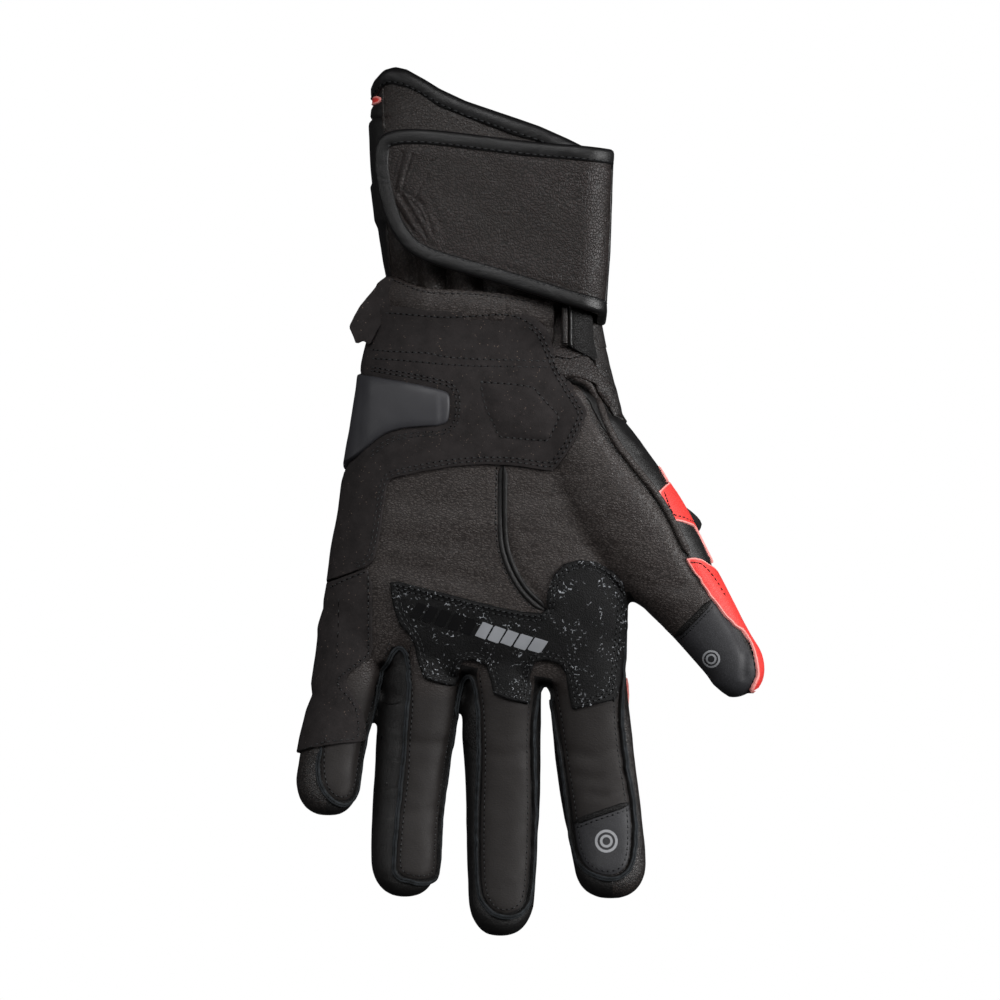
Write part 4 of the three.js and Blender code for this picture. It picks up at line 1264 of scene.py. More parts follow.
# %% Folds at the wrist
FOLD_BAND = drawn([
    (549, 348), (560, 349.5), (574, 351), (587, 356), (583, 357.5), (567, 361.5), (556, 359.5), (549, 357),
])
FOLD_LOWER = drawn([
    (549, 357), (556, 358.5), (567, 360.5), (582, 356.5), (588, 358.5), (597, 369.5), (607.5, 388.5), (616, 409),
    (612, 406), (604, 396.5), (594, 386), (582, 378.5), (573, 376.5), (565, 378), (556, 374),
])
FOLD_LIP = drawn([
    (560, 379), (573, 377.5), (582, 379.5), (594, 387), (604, 397.5), (614, 411), (611, 410), (600, 399), (588, 390),
    (576, 385.5), (566, 383.5),
])
SIDE_TOP = drawn([(588, 312), (600, 314), (622, 318), (622, 348.5), (606, 348.5), (594, 349), (590, 335)])
SIDE_LOW = drawn([
    (593, 345), (608, 345.5), (622, 346), (630, 370), (645, 408), (634, 424), (626, 421), (616, 409), (607, 389),
    (597, 368), (595, 358),
])
# the two top folds take the flap's hide, whose darker colour is painted shade
for name, outline, height, look, side in (
    ("side_low", SIDE_LOW, 0.0, "side_leather", RIGHT), ("side_top", SIDE_TOP, 0.3, "side_leather", RIGHT),
    ("lip", FOLD_LIP, 0.2, "smooth_fold", RIGHT), ("lower", FOLD_LOWER, 0.7, "flap", RIGHT),
    ("band", FOLD_BAND, 1.2, "flap", RIGHT),
):
    piece(f"wrist_fold_{name}", patch(outline, 1.0, side, spacing=0.8, rounds=0, edge=0.45,
                                      relief=lambda p, d, h=height: h + 0.12 * lattice_noise(p, 4, 21)), look,
          "black_leather")

# %% [markdown]
# ## Raised seams
#
# The finger seams are sewn with the cut edges outside, which keeps the inside smooth. A thin double edge stands
# up all round each front panel, with the pale raw leather showing at its top, so the top faces get a second
# material.

# %% Finger outseams
FIN = [
    (-0.75, -0.8), (-0.85, 0.8), (-0.75, 1.2), (-0.55, 1.32), (-0.12, 1.3), (-0.02, 1.05), (0.1, 1.36), (0.6, 1.4),
    (0.8, 1.25), (0.9, 0.8), (0.8, -0.8),
]
fins = ridge(OUTSEAM, FIN, step=0.6, wobble=0.3, lift=0.1, lowest=25)
for face in fins.polygons:
    face.material_index = int(face.index % len(FIN) in (2, 3, 6, 7))
piece("finger_outseams", fins, ("cut_edge", "raw_edge"), "smooth_black_leather", sharp=40)

# %% [markdown]
# The seams that shape the palm and the thumb are welted: a strip is sewn between the two hides and stands up as a
# double lip. The touch caps are turned under at their edge, which shows as a low fold.

# %% Welts and piping
WELT = [
    (1.9, -0.5), (1.85, 0.5), (1.4, 0.95), (0.8, 1.0), (0.3, 0.7), (0.1, 0.1), (-0.2, 0.5), (-0.8, 0.75),
    (-1.4, 0.65), (-1.8, 0.3), (-1.9, -0.5),
]
PALM_SEAM = drawn([(503, 466), (502, 501), (502.5, 540), (508, 562), (518, 582), (530, 597), (545, 609)])
TIP_FOLD = oval(2.1, 0.65, 0.4, 0.7, 9)
INDEX_FOLD = drawn([(574, 824), (588, 818), (602, 813), (616, 808.5), (630, 804)])
THUMB_FOLD = drawn([(675, 638), (685, 628.5), (695, 618.5), (704, 609), (712, 601)])
for name, line in (("index_tip_fold", INDEX_FOLD), ("thumb_tip_fold", THUMB_FOLD)):
    piece(name, ridge(offset_line(line, 0.5), TIP_FOLD, step=0.6, wobble=0.12), "smooth_fold", "smooth_black_leather")
piece("palm_welt", ridge(PALM_SEAM, WELT, step=0.8, wobble=0.08), "smooth", "smooth_black_leather", sharp=60)
THUMB_SEAM = drawn([
    (567, 380), (583, 384), (592, 398), (607, 440), (631, 470), (653, 497), (668, 522), (676, 540), (685, 557),
])
PIPE = oval(2.6, 1.0, 0.4, 0.9, 10)
piece("thumb_seam_pipe", ridge(offset_line(THUMB_SEAM, 1.5), PIPE, step=0.8, wobble=0.05, lift=0.45), "leather",
      "smooth_black_leather", sharp=60)

# %% [markdown]
# The last seams are small: a cross seam and an overlap on the fourchettes, the side seams of the cuff, and the
# edges of red panels that peep out between the fingers and beside the mouth.

# %% Small seams and red edges
FORK_SEAM = drawn([(382.5, 702.5), (387, 703.5), (392, 703.8), (397, 703), (401, 702)])
piece("fourchette_seam", ridge(FORK_SEAM, oval(0.75, 0.4, 0.3, 0.7, 7), step=0.6, wobble=0.1), "smooth_fold",
      "smooth_black_leather")
SEAM_END = drawn([
    (465, 731), (466, 737), (469, 742), (473, 747), (477.5, 750), (479, 742), (479, 722), (476, 712), (471, 716),
    (467.5, 723),
])
piece("middle_seam_end", patch(SEAM_END, 1.2, spacing=0.6, edge=0.3, rounds=0), "smooth_fold", "smooth_black_leather")
CUFF_SEAM = oval(1.3, 0.55, 0.4, 0.9, 8)
for name, line in (("upper", [(383.2, 87), (383.8, 110), (385, 136)]),
                   ("lower", [(387, 225), (389.5, 255), (391, 277)])):
    piece(f"cuff_side_seam_{name}", ridge(drawn(line), CUFF_SEAM, step=0.8, wobble=0.1), "side_leather",
          "smooth_black_leather", sharp=60)
CUFF_RED_EDGE = drawn([(378, 97), (366, 97), (360, 104), (366, 106), (378, 104.5)])
piece("cuff_red_edge", patch(CUFF_RED_EDGE, 0.7, LEFT, spacing=0.6, edge=0.2), "red", "red_leather")
for name, outline, z in (("ring", [(457.5, 696), (463.5, 697), (463.3, 710), (460, 718), (457, 708)], 14),
                         ("index", [(624, 677), (629.5, 680), (630, 705), (628.5, 712), (624, 712)], 17)):
    piece(f"{name}_red_edge", patch(drawn(outline), 1.2, surface=Sheet(lambda x, y, z=z: z), spacing=0.5, edge=0.4),
          "red", "red_leather")

# %% [markdown]
# ## Guards under the hand
#
# The glove lies on its back, so its guards show only from the side and below: a four-lobed knuckle guard with a
# flat bottom, and a small one on the thumb knuckle. They are moulded plates with rounded lower edges. Cutting the
# skin out of them makes them fit the leather exactly.

# %% Guards
KNUCKLE = [
    (-66, -27), (-61, -17), (-47, -14), (-42, -20), (-36, -13), (-20, -12), (-15, -18), (-10, -12), (6, -12),
    (11, -19), (16, -14), (28, -17), (33.5, -26), (33, -40), (28, -47), (15, -46), (11, -41), (7, -48), (-9, -50),
    (-14, -43), (-19, -49), (-36, -49), (-41, -42), (-46, -47), (-60, -44), (-66, -38),
]
THUMB_GUARD = [(42, -2), (48, 3), (54, 0), (59, -3), (63.6, -7.4), (63.2, -10), (60, -14), (53, -14), (45, -8)]


def guard(outline, low, high, bevel):
    """A moulded plate with rounded lower edges, hollowed to the skin."""
    line = rounded(outline, 1.6)
    levels = [(high, 0)] + [
        (low + bevel * (1 - math.sin(a)), bevel * (1 - math.cos(a))) for a in np.linspace(0, math.pi / 2, 6)
    ]
    rings = [
        np.column_stack((drawn_shrunk(line, 0.01 + inset), np.full(len(line), z))) for z, inset in levels
    ]
    return carve(outward(loft_mesh([rings])), ("DIFFERENCE", skin))


piece("knuckle_guard_fine", guard(KNUCKLE, 0, 18, 2.5), "guard", "black_plastic", "knuckle_guard")
piece("thumb_guard_fine", guard(THUMB_GUARD, 5, 21, 2.5), "guard", "black_plastic", "thumb_guard")

# %% [markdown]
# The red panels of the finger backs and the cuff are patches too, looked up from underneath.

# %% Red panels below
class Below:
    """Looks a drawing up from underneath."""

    out, along = np.array([1.0, 0.0]), np.array([0.0, 1.0])

    def flatten(self, points):
        return points

    def look_up(self, surface, x, y):
        return surface.hit((x, y, -60), (0, 0, 1))


BELOW = Below()
CUFF_RED = np.array([(-50, 142), (-50, 112), (-30, 104), (8, 92), (8, 116), (-28, 130), (-44, 141)], float)
piece("cuff_red_panel_fine", patch(CUFF_RED, 1.1, BELOW), "red", "red_leather", "cuff_red_panel")
for finger, (left, right, top) in {"ring": (-52, -27, -68), "middle": (-21.5, 3, -70),
                                   "index": (11.5, 36, -70)}.items():
    area = np.array([(left, top), (right, top - 2), (right, top - 12), (left, top - 10)], float)
    piece(f"{finger}_red_panel_fine", patch(area, 1.1, BELOW), "red", "red_leather", f"{finger}_red_panel")

# %% [markdown]
# ## Stitches
#
# Stitches repeat hundreds of times, which is work for Geometry Nodes. One group sews every row: it turns a line
# into a curve, sets a stitch at every pitch, lays it along the line and on the surface, and tilts each a little
# by seeded noise. `add_node` is the one helper that adds a node, here and in the materials.

# %% One helper for nodes, and the stitch group
def add_node(tree, kind, inputs=None, output=0, stops=(), **settings):
    """Adds a node with its settings and gives back one of its outputs, or the node itself if output is None.

    inputs go by name or number, and each is a value or another node's output. stops are the places and levels
    of a colour ramp.
    """
    node = tree.nodes.new(kind)
    for key, value in settings.items():
        setattr(node, key, value)
    if stops:
        points = node.color_ramp.elements
        while len(points) < len(stops):
            points.new(0.5)
        for point, (position, level) in zip(points, stops):
            point.position = position
            point.color = level if isinstance(level, (list, tuple)) else (level, level, level, 1)
    for key, value in (inputs or {}).items():
        if isinstance(value, bpy.types.NodeSocket):
            tree.links.new(value, node.inputs[key])
        else:
            node.inputs[key].default_value = value
    return node if output is None else node.outputs[output]


def stitch_group():
    group = bpy.data.node_groups.new("stitch_row", "GeometryNodeTree")
    add = partial(add_node, group)
    io = group.interface
    io.new_socket("Geometry", in_out="INPUT", socket_type="NodeSocketGeometry")
    for name, default in (("Pitch", 0.0024), ("Stitch Length", 0.0019), ("Thread Width", 0.0005)):
        io.new_socket(name, in_out="INPUT", socket_type="NodeSocketFloat").default_value = default
    io.new_socket("Thread", in_out="INPUT", socket_type="NodeSocketMaterial")
    io.new_socket("Geometry", in_out="OUTPUT", socket_type="NodeSocketGeometry")

    given = add("NodeGroupInput", output=None).outputs
    width = given["Thread Width"]
    curve = add("GeometryNodeMeshToCurve", {"Mesh": given["Geometry"]})
    spaced = add("GeometryNodeResampleCurve", {"Curve": curve, "Length": given["Pitch"]}, mode="LENGTH")
    up = add("GeometryNodeInputNamedAttribute", {"Name": "up"}, data_type="FLOAT_VECTOR")
    axes = add("FunctionNodeAxesToRotation", {"Primary Axis": add("GeometryNodeInputTangent"), "Secondary Axis": up},
               primary_axis="X", secondary_axis="Z")
    tilt = add("FunctionNodeRandomValue", {0: (-0.1, -0.1, -0.14), 1: (0.1, 0.1, 0.14), "Seed": 4},
               data_type="FLOAT_VECTOR")
    tilted = add("FunctionNodeRotateRotation",
                 {"Rotation": axes, "Rotate By": add("FunctionNodeEulerToRotation", {0: tilt})},
                 rotation_space="LOCAL")
    thread = add("GeometryNodeMeshUVSphere", {"Segments": 6, "Rings": 5, "Radius": 0.5})
    size = add("ShaderNodeCombineXYZ", {"X": given["Stitch Length"], "Y": width, "Z": width})
    placed = add("GeometryNodeInstanceOnPoints",
                 {"Points": spaced, "Instance": thread, "Rotation": tilted, "Scale": size})
    real = add("GeometryNodeRealizeInstances", {"Geometry": placed})
    smooth = add("GeometryNodeSetShadeSmooth", {"Geometry": real})
    dyed = add("GeometryNodeSetMaterial", {"Geometry": smooth, "Material": given["Thread"]})
    add("NodeGroupOutput", {"Geometry": dyed}, None)
    return group


STITCH = stitch_group()
print("the stitch group has", len(STITCH.nodes), "nodes")

# %% [markdown]
# A row is a line on the surface of everything made so far, with the surface's up at each point. Under every gap
# between two stitches lies the hole that the needle made, half a pitch further on. Its shade is painted there as a
# dark blob, so each row is sewn twice: once with thread and once with these painted hole shadows.

# %% Sewing a row
sewn_on = Surface(*[o.data for o in made.values()])


def input_name(group, name):
    return next(i.identifier for i in group.interface.items_tree if i.name == name and i.in_out == "INPUT")


thread_material = bpy.data.materials.new("bonded_black_thread")
# dark blobs in the needle holes: painted shadow
hole_shadow_material = bpy.data.materials.new("needle_hole_painted_shadow")


def sewn_row(name, vertices, edges, ups, pitch, length, width, material):
    line = bpy.data.meshes.new("line")
    line.from_pydata((np.array(vertices) * MM).tolist(), edges, [])
    line.attributes.new("up", "FLOAT_VECTOR", "POINT").data.foreach_set(
        "vector", np.array(ups, np.float32).ravel()
    )
    holder = bpy.data.objects.new("holder", line)
    bpy.context.scene.collection.objects.link(holder)
    modifier = holder.modifiers.new("sew", "NODES")
    modifier.node_group = STITCH
    for key, value in (("Pitch", pitch * MM), ("Stitch Length", length * MM), ("Thread Width", width * MM),
                       ("Thread", material)):
        modifier[input_name(STITCH, key)] = value
    depsgraph = bpy.context.evaluated_depsgraph_get()
    mesh = bpy.data.meshes.new_from_object(holder.evaluated_get(depsgraph))
    bpy.data.objects.remove(holder)
    mesh.name = name
    obj = bpy.data.objects.new(name, mesh)
    bpy.context.scene.collection.objects.link(obj)
    if not mesh.materials:
        mesh.materials.append(material)
    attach(obj, "root")
    print(f"{name}: {len(mesh.polygons):,} faces")


def sew(name, rows, pitch=2.3, length=1.5, width=0.5, side=None, lift=0.05):
    """Threads, and dark blobs between them that paint the shadow in the needle holes. Rows are lines in mm, or pairs
    of places and normals.
    """
    for holes in (False, True):
        vertices, edges, ups = [], [], []
        for row in rows:
            if isinstance(row, tuple):
                places, normals = row
            else:
                points = side.flatten(np.asarray(row)) if side else np.asarray(row)
                places, normals = look_up(sewn_on, side, resample(points, 1.2))
                normals = smooth_normals(normals, 3)
            both = resample(np.hstack((places, normals)), pitch / 2)
            places, normals = np.split(both[1:] if holes else both, 2, axis=1)
            start = len(vertices)
            vertices.extend(places + normals * (lift - (0.06 if holes else 0)))
            ups.extend(normals)
            edges.extend((start + i, start + i + 1) for i in range(len(places) - 1))
        # the second pass lays dark blobs, the painted shadow in each needle hole
        if holes:
            sewn_row(name + "_holes", vertices, edges, ups, pitch, pitch - length + 0.1, width * 1.15, hole_shadow_material)
        else:
            sewn_row(name, vertices, edges, ups, pitch, length, width, thread_material)

# %% [markdown]
# Most stitch lines run parallel to a cut edge, so they come from the same outlines as the pieces, moved inwards.
# Where an outline goes on round the side, only the run of it that can be seen and sewn is kept.

# %% Rows to follow
def inner_row(outline, by, start=0.0, end=1.0):
    """A stitch row inside a closed outline, as a part of its length."""
    line = drawn_shrunk(rounded(outline, 1.0), by)
    loop = np.vstack((line, line[:1]))
    return loop[int(start * len(line)): int(end * len(line)) + 1]


def only(row, test):
    """The longest run of a row whose points pass the test."""
    keep = np.array([bool(test(p)) for p in row])
    best, run = (0, 0), 0
    for i, k in enumerate(np.append(keep, False)):
        if k:
            run += 1
        else:
            if run > best[1] - best[0]:
                best = (i - run, i)
            run = 0
    return row[best[0]:best[1]]


def visible_left(p):
    return p[0] > -LEFT.edge_at(p[1]) + 1.5


heel_rows = [only(inner_row(HEEL, 1.2), visible_left),
             only(inner_row(HEEL, 2.5), lambda p: visible_left(p) and p[1] < 62)]
slider_rows = [only(inner_row(SLIDER, -by), lambda p: p[0] > -55.5) for by in (2.2, 3.4)]
cross = drawn([(372, 350), (388, 352), (428, 354), (447, 358), (474, 360), (510, 361), (550, 362)])
cross_low = drawn([(374, 359), (400, 361), (447, 365.5), (474, 367), (510, 367.5), (552, 368)])
print("heel rows of", [f"{np.linalg.norm(np.diff(r, axis=0), axis=1).sum():.0f} mm" for r in heel_rows])

# %% [markdown]
# Each place has its own pitch in millimetres, as a real glove has: tight on the fingers and touch tips, longer on
# the flap and the cuff's binding.

# %% Sewing the glove
sew("stitches_heel", heel_rows + slider_rows + [cross, cross_low])
sew("stitches_pad", [np.vstack((PAD, PAD[:1]))])
sew("stitches_edge", [EDGE_ROW])
sew("stitches_edge_middle", [drawn([(339, 600), (338.5, 630), (337, 655)])], pitch=3.4, length=1.2, width=0.3)
sew("stitches_grip", [inner_row(GRIP, 1.3), inner_row(GRIP, 2.7)], pitch=2.1, length=1.4)
sew("stitches_flap", [inner_row(FLAP, 4.4)], pitch=2.5, length=1.7, side=ROLLED, lift=2.42)
seam = (rim + [0, -4.9, 0] + rim_normals * 1.15, rim_normals)
sew("stitches_mouth", [tuple(np.vstack((a, a[:1])) for a in seam)], pitch=2.5, length=1.7)
sew("stitches_palm_seam", [offset_line(smooth_line(PALM_SEAM), -2.3)],
    pitch=2.0, length=1.3, width=0.42)
finger_rows = []
for line in front_lines:
    row = drawn_shrunk(resample(line, 0.8, True), 1.1)
    start = int(np.argmax(row[:, 1]))
    row = np.roll(row, -start, axis=0)
    near = distance_to(row, OUTSEAM) < 3.2
    finger_rows.append(only(np.column_stack((row, near)), lambda p: p[2])[:, :2])
strap_edge = drawn([(394, 279), (416, 289), (432, 292.5), (474, 294), (512, 298), (541, 303.5)])
sew("stitches_wrist", [drawn([(553, 358), (562, 359.5), (568, 359.8), (576, 358), (584, 355.5)]),
                      offset_line(strap_edge, -0.6)],
    pitch=2.1, length=1.3, width=0.4)
sew("stitches_tips", [offset_line(INDEX_FOLD, -1.5), offset_line(THUMB_FOLD, -1.5)], pitch=1.9, length=1.2)
red_edge = drawn([(664, 493), (669, 507), (673, 515), (683, 517), (694, 522)])
red_top = drawn([(691, 562), (700, 563), (708, 570), (717, 582), (724, 594)])
red_side = drawn([(748, 640), (752, 650), (754, 662), (755, 674), (750, 686)])
sew("stitches_red", [red_edge, red_top, red_side], pitch=2.0, length=0.9, width=0.45, lift=0.1)
sew("stitches_fingers", finger_rows, pitch=2.0, length=1.3, width=0.4)

# %% [markdown]
# ## Printed bars
#
# A row of plain slanted bars is printed on the grip patch, bright ones beside dark glossy ones. They are thin
# sheets on whatever lies beneath. Two short slits in the ring finger's fourchette are made the same way: dark
# sheets that paint the shade inside them.

# %% Printed bars
def thin(outline, material, slot, name):
    piece(name, patch(outline, 0.12, surface=sewn_on, edge=0.05, lift=0.04, spacing=0.8, rough_cut=0,
                      rounds=0), material, slot)


# upper right corner of each bar on the drawing, its run to the left and its height
BARS = [(548, 641, -13, 12), (533, 637, -12, 13), (519, 633, -11, 13), (506, 629, -11, 14), (493, 625, -10, 14)]
DARK_BARS = [(478, 620, -10, 15), (465, 616, -10, 15), (452, 612, -10, 15), (439, 608, -9, 15), (427, 605, -9, 14)]
SLANT = 8
for name, look, rise, bars in (("print_bar", "silver", 4, BARS), ("print_dark_bar", "dark_print", 3, DARK_BARS)):
    for number, (x, y, w, h) in enumerate(bars):
        corners = drawn([(x, y), (x + w, y - rise), (x + w - SLANT, y - rise + h), (x - SLANT, y + h)])
        thin(corners, look, "silver_print", f"{name}_{number}")
# the slits are dark sheets: painted shade where the fourchette is cut through
for number, (x, y) in enumerate([(382, 737.5), (386.7, 783.3)]):
    slit = drawn([(x - 1.1, y + 1.6), (x - 0.2, y - 1.9), (x + 1.3, y - 1.7), (x + 0.6, y + 1.9)])
    thin(slit, "dark_print", "black_thread", f"fourchette_slit_shadow_{number}")

# %% [markdown]
# ## Touch marks
#
# Each touch tip has a mark of two rings, a common sign for a spot to tap with. A flat section swept in a circle
# over the skin keeps them round and lying on the leather.

# %% Touch rings
def ring_mark(name, centre, outer, inner, surface):
    """A flat printed ring on the leather."""
    places, normals = [], []
    for a in np.linspace(0, 2 * math.pi, 48, endpoint=False):
        p = centre + (outer + inner) / 2 * np.array((math.cos(a), math.sin(a)))
        place, normal = surface.under(*p)
        places.append(place)
        normals.append(normal)
    half = (outer - inner) / 2
    section = [(-half, -0.1), (-half, 0.08), (half, 0.08), (half, -0.1)]
    piece(name, sweep(places, normals, section, True), "silver_ink", "silver_print")


for name, (x, y), outer, inner in (("index", (606, 840), (4.1, 3.15), (2.3, 1.4)),
                                   ("thumb", (710.5, 658.5), (3.2, 2.5), (1.9, 1.2))):
    centre = drawn([(x, y)])[0]
    ring_mark(f"touch_ring_outer_{name}", centre, *outer, skin_surface)
    ring_mark(f"touch_ring_inner_{name}", centre, *inner, skin_surface)

# %% [markdown]
# ## Materials: colours and scales
#
# Colours are given as the eye sees them, in sRGB, and one function makes them linear, as light is reckoned.
# Every pattern is built on object coordinates in metres, so a grain of 1 mm stays 1 mm on every piece. `coated`
# sets up the shader, and `emboss` lays reliefs on each other, each with a depth in millimetres.

# %% Colours, patterns and relief
NOISE, CELLS, RAMP = "ShaderNodeTexNoise", "ShaderNodeTexVoronoi", "ShaderNodeValToRGB"
MATH = "ShaderNodeMath"


def linear(colour):
    """#rrggbb to linear RGBA."""
    channels = [int(colour[i : i + 2], 16) / 255 for i in (1, 3, 5)]
    return [c / 12.92 if c <= 0.04045 else ((c + 0.055) / 1.055) ** 2.4 for c in channels] + [1.0]


def coated(material, **shader):
    """Empties a material. Gives back its way of adding nodes, its shader and the place on the object."""
    material = bpy.data.materials.new(material) if isinstance(material, str) else material
    material.use_nodes = True
    material.node_tree.nodes.clear()
    add = partial(add_node, material.node_tree)
    surface = add("ShaderNodeBsdfPrincipled", {key.replace("_", " "): value for key, value in shader.items()}, None)
    add("ShaderNodeOutputMaterial", {"Surface": surface.outputs["BSDF"]}, None)
    return material, add, surface, add("ShaderNodeTexCoord", output="Object")


def spots(place, size, detail=3, roughness=0.55, distortion=0.0):
    """Inputs of a noise whose features have the given size in mm."""
    return {"Vector": place, "Scale": 1 / (size * MM), "Detail": detail, "Roughness": roughness,
            "Distortion": distortion}


def blend(add, share, first, second, **settings):
    """Two colours mixed: a share of 0 gives the first, 1 the second."""
    return add("ShaderNodeMix", {"Factor": share, 6: first, 7: second}, 2, data_type="RGBA", **settings)


def times(add, one, other):
    return add(MATH, {0: one, 1: other}, operation="MULTIPLY")


def finish(material, surface, colour, rough, *reliefs):
    """Joins colour, roughness and the reliefs, each a height and its depth in mm, to the shader."""
    links = material.node_tree.links
    links.new(colour, surface.inputs["Base Color"])
    if rough is not None:
        links.new(rough, surface.inputs["Roughness"])
    normal = None
    for height, depth in reliefs:
        inputs = {"Height": height, "Distance": depth * MM, "Strength": 1.0}
        if normal is not None:
            inputs["Normal"] = normal
        normal = add_node(material.node_tree, "ShaderNodeBump", inputs)
    links.new(normal, surface.inputs["Normal"])
    return material


print("coral red is linear", [round(c, 3) for c in linear("#dd3832")])

# %% [markdown]
# ## Grained leather
#
# Tanned hide is covered in pebbles with dark valleys between them, over soft wrinkles and a slow mottling of the
# dye. Voronoi cells, bent by a noise, give the pebbles. On the palm the grain is drawn out into short ripples
# where the hide was stretched, and it grows finer and duller towards the fingertips, where it is rubbed smooth.
# The colour also darkens towards the fingertips: that darkening is painted shade.

# %% Grained leather
def leather_look(name, dark, light, roughness, grain, depth, creases=0.25, specular=0.35, stretch=(1, 1, 1),
                 lines="#080707", width=0.3, smooth_and_shaded_below=None, ripples=None):
    """grain, depth and creases are in mm, and width is how far the dark valleys reach into a pebble.

    ripples is the size in mm of the short raised ripples that run across the hide, with darker gaps between them.
    smooth_and_shaded_below is a place in mm along the glove. Towards the fingertips from there the grain is finer and
    fainter, and a painted shade darkens the colour.
    """
    material, add, surface, place = coated(name, Specular_IOR_Level=specular)
    drift = add(NOISE, {"Vector": place, "Scale": 350}, "Color")
    drift = add("ShaderNodeVectorMath", {0: drift, "Scale": 0.0013}, operation="SCALE")
    drawn_out = add("ShaderNodeMapping", {"Vector": place, "Scale": stretch})
    bent = add("ShaderNodeVectorMath", {0: drawn_out, 1: drift}, operation="ADD")
    edges = add(CELLS, {"Vector": bent, "Scale": 1 / (grain * MM)}, feature="DISTANCE_TO_EDGE")
    pebbles = add(RAMP, {"Fac": edges}, stops=[(0.0, 0.0), (0.2, 0.75), (0.5, 1.0)])
    valleys = add(RAMP, {"Fac": edges}, stops=[(0.03, 0.12 if ripples else 0.0), (width, 1.0)])
    if ripples:
        raised = add(NOISE, spots(bent, ripples, 1, 0.4))
        gaps = add(RAMP, {"Fac": raised}, stops=[(0.36, 0.7), (0.58, 1.0)])
        valleys = times(add, gaps, valleys)
        crests = add(RAMP, {"Fac": raised}, stops=[(0.32, 0.0), (0.66, 1.0)])
        pebbles = times(add, crests, pebbles)
    mottle = add(RAMP, {"Fac": add(NOISE, spots(place, 26, 2))}, stops=[(0.3, 0.0), (0.7, 1.0)])
    dye = blend(add, mottle, linear(dark), linear(light))
    dull = add(RAMP, {"Fac": add(NOISE, spots(place, 9))}, stops=[(0.25, roughness - 0.06), (0.75, roughness + 0.07)])
    if smooth_and_shaded_below is not None:
        along = add("ShaderNodeSeparateXYZ", {0: place}, "Y")
        palm = add("ShaderNodeMapRange",
                   {"Value": along, "From Min": smooth_and_shaded_below * MM, "From Max": (smooth_and_shaded_below + 14) * MM})
        strong = add(RAMP, {"Fac": palm}, stops=[(0.0, 0.22), (1.0, 1.0)])
        depth_of_gap = add(MATH, {0: 1.0, 1: valleys}, operation="SUBTRACT")
        fainter = times(add, depth_of_gap, strong)
        valleys = add(MATH, {0: 1.0, 1: fainter}, operation="SUBTRACT")
        pebbles = times(add, pebbles, strong)
        # painted shade: the dye is multiplied down to a darker grey towards the fingertips
        finger_painted_shade = blend(add, palm, linear("#888686"), linear("#ffffff"))
        dye = blend(add, 1.0, dye, finger_painted_shade, blend_type="MULTIPLY")
        duller = add(RAMP, {"Fac": palm}, stops=[(0.0, 0.2), (1.0, 0.0)])
        dull = add(MATH, {0: dull, 1: duller}, operation="ADD")
    colour = blend(add, valleys, linear(lines), dye)
    across = add("ShaderNodeMapping", {"Vector": place, "Scale": (0.6, 1, 1)})
    wrinkles = add(RAMP, {"Fac": add(NOISE, spots(across, 8, 2, 0.6, 0.6))}, stops=[(0.35, 0), (0.65, 1)])
    pores = add(NOISE, spots(place, grain * 0.4, 2))
    return finish(material, surface, colour, dull, (wrinkles, creases), (pebbles, depth), (pores, depth * 0.15))


print("leather grain is drawn at its real size, 0.5 to 1.1 mm")

# %% [markdown]
# ## Suede
#
# Suede is the split side of a hide: a short nap that swallows light, with slightly lighter clouds where it was
# brushed and a few pale fibres. It has hardly any gloss, so its look comes from colour and a soft bump.

# %% Suede
def suede_look(name, dark, light):
    material, add, surface, place = coated(name, Roughness=0.95, Specular_IOR_Level=0.1)
    nap = add(NOISE, spots(place, 0.4, 4, 0.7))
    clouds = add(RAMP, {"Fac": add(NOISE, spots(place, 5, 4, 0.65))}, stops=[(0.28, 0), (0.72, 1)])
    base = blend(add, clouds, linear(dark), linear(light))
    brushed = add(RAMP, {"Fac": nap}, stops=[(0.42, 0), (0.8, 0.6)])
    base = blend(add, brushed, base, linear(light))
    fibres = add(RAMP, {"Fac": add(CELLS, {"Vector": place, "Scale": 1000}, feature="F1")},
                 stops=[(0.0, 1.0), (0.12, 1.0), (0.18, 0.0)])
    chosen = add(RAMP, {"Fac": add(NOISE, spots(place, 1.9, 2))}, stops=[(0.52, 0.0), (0.6, 1.0)])
    few = times(add, fibres, chosen)
    colour = blend(add, few, base, linear("#63574f"))
    return finish(material, surface, colour, None, (add(NOISE, spots(place, 1.6)), 0.2), (nap, 0.16))


print("suede nap of 0.4 mm, pale fibres 1 mm apart")

# %% [markdown]
# ## Crackled rubber
#
# The grip patch is a matt rubber skin whose silver topcoat has broken up into short bright flecks. Thin lines
# between Voronoi cells are broken by one noise and gathered in clusters by a slower one.

# %% Crackled rubber
def grip_look(name):
    material, add, surface, place = coated(name, Specular_IOR_Level=0.15)
    cracks = add(RAMP, {"Fac": add(CELLS, {"Vector": place, "Scale": 625}, feature="DISTANCE_TO_EDGE")},
                 stops=[(0.0, 1.0), (0.035, 1.0), (0.075, 0.0)])
    broken = add(RAMP, {"Fac": add(NOISE, spots(place, 1.3, 1))}, stops=[(0.58, 0.0), (0.62, 1.0)])
    clusters = add(RAMP, {"Fac": add(NOISE, spots(place, 7))}, stops=[(0.47, 0.0), (0.6, 1.0)])
    flecks = times(add, times(add, cracks, broken), clusters)
    fine = add(RAMP, {"Fac": add(NOISE, spots(place, 0.5))}, stops=[(0.35, 0.0), (0.65, 1.0)])
    base = blend(add, fine, linear("#030303"), linear("#0b0b0c"))
    colour = blend(add, flecks, base, linear("#8f9296"))
    rough = add(RAMP, {"Fac": flecks}, stops=[(0.0, 0.6), (1.0, 0.2)])
    return finish(material, surface, colour, rough, (fine, 0.1), (flecks, 0.15))


print("flecks about 1.6 mm long in clusters of 7 mm")

# %% [markdown]
# ## Moulded, printed and raw surfaces
#
# Plastic, print and raw edges need only a faint blotch of colour and gloss and a fine relief. The dyed red hide
# is pale inside, so its cut edge shows raw: `edge_distance` of the patches tells the shader where.

